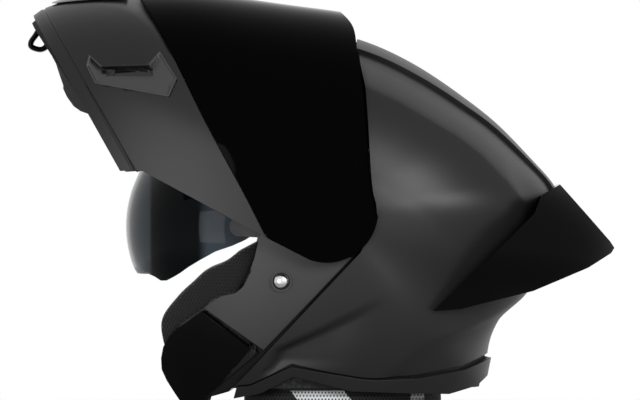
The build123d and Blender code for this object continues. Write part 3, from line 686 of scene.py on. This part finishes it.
chinBar = {
    "wall": 0.0034, "edge": 0.0008,
    "visorEdge": marks(-338, -146, -443, 62, -691, 525, -821, 790, -928, 998, -1035, 1190,
                       -1290, 1650),
    "rim": marks(-1150, 224, -1430, 716, -1655, 1105, -1980, 1700),
    "foot": marks(-338, -146, -1020, 222, -1075, 229, -1150, 224),
    "groove": marks(-1040, 150, -1082, 243, -1335, 686, -1593, 1136, -1900, 1680),
    "grooveWidth": 0.0011,
    "grooveDepth": 0.0009,
    "crease": marks(-1640, 1080, -1593, 1119, -1458, 1151, -1277, 1154, -1176, 1136,
                    -1080, 1091, -1001, 1021, -950, 948, -928, 891, -900, 800),
    "creaseDrop": 0.0034,
    "creaseFront": -1.66,  # X share where it ends
    "creaseWidth": 0.012,
    "creaseFoot": (0.83, 0.95),  # Z shares where it begins and is full
    "ventDrop": 0.0065,
    "ventEdge": 0.0012,
    "ventInset": 0.3,  # of its edge
}


# Depth: a groove that fades with the distance from its line, a step above the crease that grows
# with the distance from it, and a pocket inside the vent's outline.
def chinBarPiece(values=chinBar):
    along, across = edgeShares(130), edgeShares(110)
    rear, front = chinForm.edges(values, along, "visorEdge", "rim", curved=True)
    disc = patchToRim(chinForm.edge(values["foot"], across), rear, front, across, along)
    spot = chinForm.shares(disc)
    gap, _ = lineDistance(spot, values["groove"])
    depth = values["grooveDepth"] * smooth(1 - gap / values["grooveWidth"])
    gap, hand = lineDistance(spot, values["crease"])
    above = (hand > 0) & (spot[..., 0] > values["creaseFront"])
    near = smooth(gap / values["creaseWidth"]) * between(spot[..., 1], values["creaseFoot"])
    depth += np.where(above, values["creaseDrop"] * near, 0)
    inside = insideDistance(spot, ventOutline)
    depth += values["ventDrop"] * smooth(inside / values["ventEdge"] - values["ventInset"])
    return formPiece("chinShell", chinForm, disc, values, depth)


# Wedge: its depth is the least of three slopes, each rising from one edge, inside a raised lip.
def ventPieces(values=ventValues):
    disc = patchBetween(chinForm, values, edgeShares(170, 0.003), edgeShares(110, 0.004))
    spot = chinForm.shares(disc)
    lines = (values["low"], values["start"][:2], values["end"][1:])
    slopes = [rate * lineDistance(spot, line)[0] for rate, line in zip(values["slopes"], lines)]
    depth = np.minimum(np.minimum.reduce(slopes), values["deepest"])
    slot = insideDistance(spot, values["slot"])
    depth = depth + values["slotDrop"] * smooth(slot / values["slotEdge"])
    within = between(insideDistance(spot, ventOutline), values["lip"])
    depth = depth * within - values["lipRise"] * (1 - within)
    for side, hand in hands:
        obj = formPiece(f"sideVent_{hand}", chinForm, disc, values, depth, (side,), segments=2)
        yield obj, hand


visorValues = {
    "wall": 0.0022, "edge": 0.0009,
    "front": marks(-330, -150, -437, 62, -685, 525, -815, 790, -922, 998, -1029, 1190,
                   -1284, 1650),
    "rear": marks(277, -20, 257, 73, 240, 197, 217, 479, 195, 716, 166, 942, 145, 1040,
                  90, 1110, 20, 1180),
    "footEnd": (-0.093, -0.271),
    "corner": 0.28634,  # radius about the pivot of the round corner behind it
    "cornerEnd": -4.1,  # degrees
}


# The foot runs straight from the front edge, then on an arc about the pivot up to the rear edge.
def visorPiece(values=visorValues):
    along, across = edgeShares(120), edgeShares(110)
    first = math.degrees(math.atan2(*values["footEnd"][::-1]))
    turn = np.radians(np.linspace(first, values["cornerEnd"], 40))
    arc = values["corner"] * np.stack([np.cos(turn), np.sin(turn)], 1)
    bottom = np.vstack([evenly([values["front"][0], values["footEnd"]], 30), arc[1:-1],
                        values["rear"][:1]])
    front, rear = visorForm.edges(values, along, "front", "rear", curved=True)
    disc = patchToRim(visorForm.edge(bottom, across), front, rear, across, along)
    return formPiece("visorShield", visorForm, disc, values, segments=4)


shellValues = {
    "wall": 0.0035, "edge": 0.0008,
    "step": marks(-540, -1006, 194, -225, 218, -160, 266, -80, 280, -10, 274, 50, 260, 95,
                  248, 197, 226, 479, 203, 716, 174, 942, 140, 1070, 30, 1180),
    "bottom": marks(-540, -1006, -499, -970, -426, -964, -195, -857, -37, -886, 189, -925,
                    274, -931, 516, -922, 770, -874, 922, -812, 1300, -670),
    "rearTurn": 20.0,  # place of the fourth corner on the centre line, under the spine
    "shoulder": marks(150, 700, 206, 671, 386, 587, 702, 406, 838, 305, 1069, 73, 1160, -11,
                      1300, -150),
    "shoulderRise": 0.0052,
    "shoulderReach": (0.018, 0.050),  # above and below the line
    "shoulderRound": 0.0012,
    "shoulderPower": 1.3,
    "shoulderStart": (0.16, 0.22),  # X shares where it begins and is full
    "shoulderEnd": (1.22, 0.97),
    "flank": marks(-330, -850, -290, -756, -37, -643, 245, -502, 420, -440),
    "flankDrop": 0.0040,
    "flankReach": (0.007, 0.040),  # where the drop is full, and where it has faded
    "flankRear": (0.36, 0.01),
    "flankLow": (-0.93, -0.83),  # Z shares
    "neck": marks(1250, -420, 1148, -457, 917, -581, 550, -733, 307, -902, 200, -1000),
    "neckDrop": 0.0045,
    "neckNear": 0.010,  # where the drop is full, and the pair over which it fades
    "neckFar": (0.044, 0.014),
    "neckWiden": 0.8,  # of the X share, from a fifth to the full drop
}


# Rise: a ridge along the shoulder line, rise times (1 - distance / reach) to a power, less a step
# below the flank line and one past the neck line, which both fade out.
def shellPiece(values=shellValues):
    disc = patchToCorner(shellForm, values["bottom"], values["step"], values["rearTurn"],
                         edgeShares(120), edgeShares(160), 160)
    spot = shellForm.shares(disc)
    x, z = spot[..., 0], spot[..., 1]
    gap, hand = lineDistance(spot, values["shoulder"])
    reach = np.where(hand > 0, *values["shoulderReach"])
    ends = between(x, values["shoulderStart"]) * between(x, values["shoulderEnd"])
    away = np.sqrt(gap ** 2 + values["shoulderRound"] ** 2) / reach
    rise = values["shoulderRise"] * ends * np.maximum(1 - away, 0) ** values["shoulderPower"]
    gap, hand = lineDistance(spot, values["flank"])
    full, gone = [smooth(gap / reach) for reach in values["flankReach"]]
    ends = between(x, values["flankRear"]) * between(z, values["flankLow"])
    rise -= np.where(hand < 0, values["flankDrop"] * full * (1 - gone), 0) * ends
    gap, hand = lineDistance(spot, values["neck"])
    wide = np.clip(x * values["neckWiden"], 0.2, 1)
    near = smooth(gap / values["neckNear"]) * between(gap, values["neckFar"])
    rise -= np.where(hand > 0, values["neckDrop"], 0) * wide * near
    return formPiece("outerShell", shellForm, disc, values, -rise)


shellFrontValues = {
    "wall": 0.0025, "edge": 0,
    "stepInset": 0.004,
    "frontEdge": marks(-1130, 440, -1070, 430, -965, 405, -826, 288, -657, 164, -488, 6,
                       -369, -150, -395, -262, -430, -361, -495, -455, -620, -505, -655, -545,
                       -369, -778, -700, -1050),
}


def shellFrontPiece(values=shellFrontValues):
    stepIn = shellValues["step"] - [values["stepInset"], 0]
    step, port = [recessForm.edge(line, 90) for line in (stepIn, values["frontEdge"][::-1])]
    disc = relaxed(patchToRim(evenly([step[0], port[0]], 60), step, port, 60, 90), 200)
    return formPiece("shellFront", recessForm, disc, values)


# skins on the recessed front
skins = {
    "panel": {"low": marks(-674, -536, -347, -767),
              "high": marks(-362, -110, -230, -190, -100, -235, 140, -255),
              "start": marks(-674, -536, -633, -499, -578, -468, -503, -451, -460, -417,
                             -434, -361, -398, -259, -362, -110),
              "end": marks(-347, -767, 140, -255),
              "rise": 0.0020, "wall": 0.0019, "edge": 0.0007},
    "guard": {"low": marks(-724, -1072, -384, -786),
              "high": marks(-902, -750, -866, -688, -821, -643, -770, -612, -688, -551),
              "start": marks(-724, -1072, -760, -1100, -798, -1066, -840, -1004, -883, -936,
                             -911, -874, -914, -812, -902, -750),
              "end": marks(-384, -786, -688, -551),
              "rise": 0.0022, "wall": 0.0044, "edge": 0.0016},
}


def skinPieces(kind, name):
    values = skins[kind]
    disc = patchBetween(recessForm, values, edgeShares(50, 0.01), edgeShares(60, 0.01))
    for side, hand in hands:
        yield formPiece(f"{name}_{hand}", recessForm, disc, values, -values["rise"], (side,),
                        segments=4), hand


curtainValues = {
    "inset": 0.0281,
    "wall": 0.0020, "edge": 0.0006,
    "low": marks(-1340, 547, -1379, 560, -1418, 588, -1456, 640, -1478, 686, -1478, 705,
                 -1500, 765, -1522, 829, -1552, 880, -1640, 960),
    "high": marks(-1310, 560, -1360, 640, -1418, 740, -1480, 850, -1520, 920, -1600, 1020),
}


def curtainPiece(values=curtainValues):
    form = Form(chinOutline, chinHalfWidth, values["inset"])
    return formPiece("chinCurtain", form, band(form, values, 110, 14), values)


tabValues = {
    "loop": marks(-1616, 1020, -1641, 990, -1664, 956, -1667, 933, -1639, 915, -1605, 912,
                  -1580, 930, -1577, 965, -1592, 1004),
    "thick": 0.0019,
    "halfWidth": 0.0108,
    "squareness": 0.35,  # 1 would be an ellipse
}


# Closed loop: its section is a rounded bar, across the loop's plane and along the width.
def tabPiece(values=tabValues):
    line = throughPoints(values["loop"] * crown + pivot, 90, closed=True)[:90]
    ahead = np.roll(line, -1, 0) - np.roll(line, 1, 0)
    side = np.stack([ahead[:, 1], -ahead[:, 0]], 1)
    side /= np.linalg.norm(side, axis=1, keepdims=True)
    turn = np.linspace(0, 2 * math.pi, 41)[:-1]
    thick = values["thick"] * np.cos(turn)
    wide = values["halfWidth"] * filled(np.sin(turn), values["squareness"])
    grid = np.stack([line[:, None, 0] + side[:, None, 0] * thick,
                     np.broadcast_to(wide, (len(line), len(turn))),
                     line[:, None, 1] + side[:, None, 1] * thick], -1)
    return weld(gridPiece("releaseTab", [grid], closed=(True, True)), recalculate=True)


spineValues = {
    "rise": 0.0030,
    "wall": 0.00285, "edge": 0.0011,
    "turns": (79.8, 5.2),  # degrees about the pivot, its front and its rear end
    "border": marks(170, 430, 500, 410, 800, 355, 1114, 250, 1310, 215),
}


# Strip along the centre line: the place along it is the angle, its half width a plan curve.
def spinePiece(values=spineValues):
    angle = np.radians(np.linspace(*values["turns"], 150))
    reach = shellForm.radius(angle)
    plan = values["border"] * crown
    half = np.interp(reach * np.cos(angle), plan[:, 0], plan[:, 1])
    wide = np.sin(np.linspace(-rightAngle, rightAngle, 61))[None, :] * half[:, None]
    full = 1 - (np.abs(wide) / shellForm.halfWidth) ** roundness
    radius = (reach[:, None] + values["rise"]) * full ** (1 / roundness)
    grid = np.stack([pivot[0] + radius * np.cos(angle)[:, None], wide,
                     pivot[1] + radius * np.sin(angle)[:, None]], -1)
    return wall(gridPiece("crownSpine", [grid], shellForm.core), values["wall"], values["edge"], 4)


trimValues = {
    "rise": 0.0013,
    "wall": 0.0046, "edge": 0.0006,
    "high": np.vstack([shellValues["bottom"][1:-1] - [0, 0.006], marks(1400, -600)]),
    "low": marks(-516, -1038, -369, -1010, -183, -914, 144, -998, 680, -1015, 838, -970,
                 917, -902, 1400, -700),
}


def trimPiece(values=trimValues):
    disc = band(shellForm, values, 170, 12)
    return formPiece("lowerTrim", shellForm, disc, values, -values["rise"])


finishPiece(chinBarPiece(), "chin_assembly", "chin", "matte_black", "chin_bar")
for obj, hand in ventPieces():
    finishPiece(obj, "chin_assembly", "vent", "matte_black", f"side_vent_{hand}")
finishPiece(visorPiece(), "visor_assembly", "visor", "dark_visor", "visor")
finishPiece(shellPiece(), "helmet_shell", "shell", "matte_black", "outer_shell")
# the recessed front gets the darker paint, painted shade
finishPiece(shellFrontPiece(), "helmet_shell", "under", "matte_black", "outer_shell")
for obj, hand in skinPieces("panel", "sidePanel"):
    finishPiece(obj, "helmet_shell", "panel", "matte_grey", f"side_panel_{hand}")
for obj, hand in skinPieces("guard", "cheekGuard"):
    finishPiece(obj, "helmet_shell", "guard", "gloss_black", f"cheek_guard_{hand}")
finishPiece(curtainPiece(), "chin_assembly", "rubber", "black_rubber", "chin_curtain")
finishPiece(tabPiece(), "release_assembly", "gloss", "moulded_black", "release_tab")
finishPiece(spinePiece(), "helmet_shell", "spine", "matte_black", "crown_spine")
finishPiece(trimPiece(), "helmet_shell", "shell", "matte_black", "lower_trim")
print("shells")


lensValues = {
    "radius": 0.0756,
    "halfWidth": 0.097,
    "wall": 0.0022, "edge": 0.0007,
    "centre": np.array([-0.485, -0.085]),
    "ear": 0.0803,
    "upper": marks(-485, -5, -620, 50, -800, 160, -950, 235, -1300, 243),
    "lower": marks(-485, -165, -539, -197, -623, -226, -713, -276, -792, -324, -843, -361,
                   -894, -388, -928, -389, -962, -367, -998, -352, -1040, -352, -1064, -350,
                   -1082, -325, -1110, -290),
}
lensRing = np.array([(turn, lensValues["radius"] / crown) for turn in range(0, 360, 15)])
lensForm = Form(lensRing, lensValues["halfWidth"], centre=pivot + crown * lensValues["centre"])


# The lens is on a form of its own, a round one about its pivots; its ear is half a disc.
def sunLensPiece(values=lensValues):
    along, across = edgeShares(70, 0.01), edgeShares(90, 0.008)
    turn = np.radians(np.linspace(-90, 90, 40))
    ear = values["centre"] + values["ear"] * np.stack([np.cos(turn), np.sin(turn)], 1)
    low, high = lensForm.edges(values, across, "lower", "upper")
    end = rimArc(low[-1], high[-1], along)
    disc = patch(low, high, lensForm.edge(ear, along), end, across, along)
    return formPiece("sunLens", lensForm, disc, values)


finishPiece(sunLensPiece(), "sun_lens_assembly", "lens", "smoked_lens", "sun_lens")
print("sun lens")

crownPad = {
    "gap": 0.0004,
    "thick": 0.0066,
    "seams": (0.26, 0.50, 0.74),
    "crossSeam": 0.152,
    "seamWidth": 0.0030,
    "seamDepth": 0.0028,
    "low": marks(-300, -26, 300, -26, 1100, -26),
    "front": marks(-300, -26, -636, 180, -636, 300, -636, 900),
    "rearTurn": 84.0,  # degrees, place of the rear corner on the centre line
    "drawnIn": (0.14, 0.16),  # shares of its length and height over which the border thins
    "clothRadius": 0.09,  # the weave is laid out on a cylinder
}


# Pad with sewn channels: thickness = (full - groove) times the border's share. Both halves meet on
# the centre line.
def crownLinerPiece(values=crownPad):
    disc = patchToCorner(headForm, values["low"], values["front"], values["rearTurn"], 110, 60, 80)
    shares = np.meshgrid(spread(110), spread(60))
    u, v = [1 - (1 - np.clip(share / wide, 0, 1)) ** 3
            for share, wide in zip(shares, values["drawnIn"])]
    border = (u * v) ** 0.6
    place = headForm.place(disc, 1, values["gap"])
    away = [np.abs(place[..., 1] - headForm.halfWidth * seam) for seam in values["seams"]]
    away.append(np.abs(place[..., 2] - values["crossSeam"]))
    groove = np.exp(-(np.minimum.reduce(away) / values["seamWidth"]) ** 2)
    thick = (values["thick"] - values["seamDepth"] * groove) * border
    grids = [headForm.place(disc, side, values["gap"] + inset)
             for side in (-1, 1) for inset in (np.zeros(thick.shape), thick)]
    flat = np.stack([np.arctan2(place[..., 1], place[..., 0]) * values["clothRadius"],
                     place[..., 2]], -1)
    return weld(gridPiece("crownLiner", grids, weave=[flat] * 4), 2e-5, True)


piece = finishPiece(crownLinerPiece(), "helmet_shell", "cloth", "black_fabric", "crown_liner")
print("crown liner")

cheekPad = {
    "inner": 0.061,
    "inset": 0.0055,
    "gap": 0.0005,
    "swell": 0.0110,
    "leastWall": 0.004,
    "leastRim": 0.001,
    "step": (0.0004, 0.0044),  # where the outer face changes from the liner to the shell
    "low": marks(-880, -900, -800, -1030, -760, -1080, -660, -1080, -640, -990, -300, -985,
                 26, -985),
    "high": marks(-488, -220, -250, -94, -150, -150, -24, -204),
    "start": marks(-880, -900, -905, -756, -922, -677, -922, -615, -854, -502, -798, -440,
                   -736, -384, -663, -321, -584, -288, -488, -220),
    "end": marks(26, -985, 56, -600, -24, -204),
    "liner": marks(-945, 344, -798, 231, -635, 107, -471, -39, -340, -140, -370, -260,
                   -410, -370, -480, -470, -620, -520, -660, -560, -800, -660, -860, -780,
                   -850, -880, -780, -988, 1000, -988, 1500, -600, 1500, 1300, -990, 1300),
    "seam": marks(-700, -200, -640, -520, -700, -800, -690, -1100),
    "seamWidth": 0.0022,
    "seamDepth": 0.0024,
}


# Fullness of a cushion over its own square: full in the middle, none at its sewn edges.
def crowned(u, v, power=6):
    return ((1 - np.abs(2 * u - 1) ** power) * (1 - np.abs(2 * v - 1) ** power)) ** 0.45


# Two skins over one side outline, sewn at the edge: the outer one lies on the shell in front of
# the liner and on the head form behind its edge, the inner one swells toward the face.
def cheekPadPiece(side, hand, values=cheekPad):
    rows, cols = 70, 76
    low, high = evenly(values["low"], cols), evenly(values["high"], cols)
    start, end = throughPoints(values["start"], rows), throughPoints(values["end"], rows)
    spot = relaxed(patch(low, high, start, end, cols, rows), 120)
    full = crowned(*np.meshgrid(spread(cols), spread(rows)))
    onShell, onHead = [
        form.place(form.flat(spot.reshape(-1, 2)), 1, inset)[:, 1].reshape(rows, cols)
        for form, inset in ((recessForm, values["inset"]), (headForm, values["gap"]))]
    ahead = between(-insideDistance(spot, values["liner"]), values["step"])
    outer = onHead + (np.maximum(onShell, onHead) - onHead) * ahead
    outer = np.maximum(outer, values["inner"] + values["leastWall"])
    seam = np.exp(-(lineDistance(spot, values["seam"])[0] / values["seamWidth"]) ** 2)
    rim = np.minimum(values["inner"] + values["swell"], outer - values["leastRim"])
    inner = rim - (rim - values["inner"]) * full + values["seamDepth"] * seam * full
    mid = np.minimum((outer + inner) / 2, outer)
    sewn = 1 - full ** 0.25
    skins = (outer - (outer - mid) * sewn, inner + (mid - inner) * sewn)
    place = spot * crown + pivot
    grids = [np.stack([place[..., 0], side * y, place[..., 1]], -1) for y in skins]
    return weld(gridPiece(f"cheekPad_{hand}", grids, weave=[place, place]), 2e-5, True)


for side, hand in hands:
    piece = finishPiece(cheekPadPiece(side, hand), "helmet_shell", "cloth", "black_fabric",
                        f"cheek_pad_{hand}")
print("cheek pads")

neckRoll = {
    "height": 0.016,
    "centreX": 0.004,
    "outer": (0.076, 0.097),
    "inner": (0.060, 0.076),
    "mouth": 0.052,
    "mouthEase": 0.10,  # of the turn, in radians
    "capFrom": 0.955,  # share of the half length where the round end begins
    "squareness": (2 / 3.2, 2 / 3.0),
    "seamTurn": 0.55,  # place of both seams round the profile, and their width, in radians
    "seamWidth": 0.10,
    "seamPinch": 0.10,
    "clothRadii": (0.08, 0.0075),  # along and around
}


# A rounded profile carried round an elliptic horseshoe; it shrinks to nothing at both ends.
def neckRollPiece(values=neckRoll):
    outer, inner = np.array(values["outer"]), np.array(values["inner"])
    middle, half = (outer + inner) / 2, (outer - inner) / 2
    reach = math.pi - math.asin(values["mouth"] / middle[1]) - values["mouthEase"]
    s = np.linspace(-1, 1, 260)[:, None]
    turn = s * reach
    capFrom = values["capFrom"]
    cap = np.sqrt(1 - np.clip((np.abs(s) - capFrom) / (1 - capFrom), 0, 1) ** 2)
    around = np.linspace(0, 2 * math.pi, 57)[None, :]
    bulge = filled(np.cos(around), values["squareness"][0])
    rise = filled(np.sin(around), values["squareness"][1])
    pinch = 1 - sum(values["seamPinch"] * np.exp(-((around - seam) / values["seamWidth"]) ** 2)
                    for seam in (values["seamTurn"], math.pi - values["seamTurn"]))
    across = half[0] + (half[1] - half[0]) * np.abs(np.sin(turn))
    offset = bulge * across * cap * pinch
    x = values["centreX"] + (middle[0] + offset) * np.cos(turn)
    y = (middle[1] + offset) * np.sin(turn)
    z = values["height"] / 2 * (1 + rise * cap * pinch)
    along, over = values["clothRadii"]
    flat = np.stack(np.broadcast_arrays(turn * along, around * over), -1)
    grid = np.stack([x, y, z], -1)
    return weld(gridPiece("neckRoll", [grid], weave=[flat]), 2e-5, True)


piece = finishPiece(neckRollPiece(), "helmet_shell", "neck", "black_fabric", "neck_roll")
print("neck roll")

strapValues = {
    "x": 0.025,
    "width": 0.022,
    "wall": 0.0020,
    "squareness": (0.25, 0.5),  # of its width and of its thickness
    "bend": 0.009,
    "route": [(0.074, 0.098), (0.074, 0.078), (0.065, 0.040), (0.055, 0.019), (0.031, 0.0105),
              (0.012, 0.0105)],
}


# Route with eased corners: each is cut back and bridged by a quadratic curve.
def eased(points, bend, count=10):
    points = np.asarray(points, float)
    line = [points[:1]]
    for a, b, c in zip(points[:-2], points[1:-1], points[2:]):
        into, away = (a - b) / np.linalg.norm(a - b), (c - b) / np.linalg.norm(c - b)
        half = math.acos(np.clip(-(into @ away), -1, 1)) / 2
        back = min(bend * math.tan(half), 0.45 * np.linalg.norm(a - b),
                   0.45 * np.linalg.norm(c - b))
        t = spread(count)[:, None]
        line.append((1 - t) ** 2 * (b + into * back) + 2 * t * (1 - t) * b
                    + t ** 2 * (b + away * back))
    line.append(points[-1:])
    return np.vstack(line)


# Webbing: a flat rounded profile carried along the eased route.
def strapPiece(side, hand, values=strapValues):
    line = evenly(eased(values["route"], values["bend"]), 120)
    ahead = np.gradient(line, axis=0)
    ahead /= np.linalg.norm(ahead, axis=1)[:, None]
    out = np.stack([ahead[:, 1], -ahead[:, 0]], 1)
    around = np.linspace(0, 2 * math.pi, 33)
    wide = values["width"] / 2 * filled(np.cos(around), values["squareness"][0])
    thick = values["wall"] / 2 * filled(np.sin(around), values["squareness"][1])
    grid = np.zeros((len(line), len(around), 3))
    grid[..., 0] = values["x"] + wide
    grid[..., 1] = side * (line[:, None, 0] + thick * out[:, None, 0])
    grid[..., 2] = line[:, None, 1] + thick * out[:, None, 1]
    ends = [np.broadcast_to(grid[k].mean(0), (1, len(around), 3)) for k in (0, -1)]
    grid = np.concatenate([ends[0], grid, ends[1]])
    reach = lengths(line)
    reach = np.r_[0, reach, reach[-1]]
    flat = np.stack(np.broadcast_arrays(wide, reach[:, None]), -1)
    return weld(gridPiece(f"chinStrap_{hand}", [grid], weave=[flat]), recalculate=True)


for side, hand in hands:
    finishPiece(strapPiece(side, hand), "helmet_shell", "webbing", "webbing",
                f"chin_strap_{hand}")
print("chin straps")

studio = {
    "distance": 8.0,  # long lens, near to a plain side view
    "frameWidth": 0.4224,
    "look": (0.0002, 0.0, 0.1393),
    "worldLight": 0.20,
    "aim": (0.0, 0.0, 0.14),
    "key": ((1.40, -2.30, 0.95), 72.0, 1.2, 1.0),  # place, power, width, height
    "fill": ((-1.1, -2.3, 0.1), 34.0, 1.2, 1.2),
    "floorHole": 0.0005,
    "floorRadius": 0.55,
    "floorDrop": 0.0004,
    "floorFade": (0.20, 0.97),  # metres where it begins, share of the radius where it ends
}


def lamp(name, spot, power, width, height):
    data = bpy.data.lights.new(name, "AREA")
    data.shape, data.size, data.size_y, data.energy = "RECTANGLE", width, height, power
    obj = bpy.data.objects.new(name, data)
    scene.collection.objects.link(obj)
    obj.location = spot
    aim = Vector(studio["aim"]) - Vector(spot)
    obj.rotation_euler = aim.to_track_quat("-Z", "Y").to_euler()


for name in ("key", "fill"):
    lamp(name, *studio[name])

# world: white where it is seen, mirrored or seen through, plain pale light elsewhere
world = bpy.data.worlds.new("studio")
world.use_nodes = True
scene.world = world
tree = world.node_tree
tree.nodes.clear()
sky, path, level, out = [tree.nodes.new(f"ShaderNode{kind}")
                         for kind in ("Background", "LightPath", "MapRange", "OutputWorld")]
seen = path.outputs["Is Camera Ray"]
for ray in ("Is Glossy Ray", "Is Transmission Ray"):
    also = tree.nodes.new("ShaderNodeMath")
    also.operation, also.use_clamp = "ADD", True
    tree.links.new(seen, also.inputs[0])
    tree.links.new(path.outputs[ray], also.inputs[1])
    seen = also.outputs[0]
level.inputs["To Min"].default_value = studio["worldLight"]
level.inputs["To Max"].default_value = 1.0
sky.inputs["Color"].default_value = (1, 1, 1, 1)
tree.links.new(seen, level.inputs["Value"])
tree.links.new(level.outputs[0], sky.inputs["Strength"])
tree.links.new(sky.outputs[0], out.inputs[0])

# pale round floor that fades out into the white around it
radius = np.linspace(0, studio["floorRadius"], 30)[:, None]
radius[0] = studio["floorHole"]
angle = np.linspace(0, 2 * math.pi, 121)[:-1]
ring = np.stack(np.broadcast_arrays(radius * np.cos(angle), radius * np.sin(angle),
                                    -studio["floorDrop"]), -1)
floor = gridPiece("floor", [ring], inside=(0, 0, -1), closed=(False, True))
paint = Paint("pale floor")
x, y, _ = paint.axes(paint.place())
begins, ends = studio["floorFade"]
fade = ((x * x + y * y) ** 0.5).ramp(begins, studio["floorRadius"] * ends)
paint.surface((0.86, 0.86, 0.86), 0.7, 0.1, alpha=1 - fade)
floor.data.materials.append(paint.material)

camera = bpy.data.objects.new("camera", bpy.data.cameras.new("camera"))
scene.collection.objects.link(camera)
camera.data.sensor_width = 36.0
camera.data.lens = 36.0 * studio["distance"] / studio["frameWidth"]
camera.data.clip_end = 200.0
camera.location = (studio["look"][0], -studio["distance"], studio["look"][2])
camera.rotation_euler = (rightAngle, 0, 0)
scene.camera = camera
scene.view_settings.view_transform = "Standard"
print("studio")
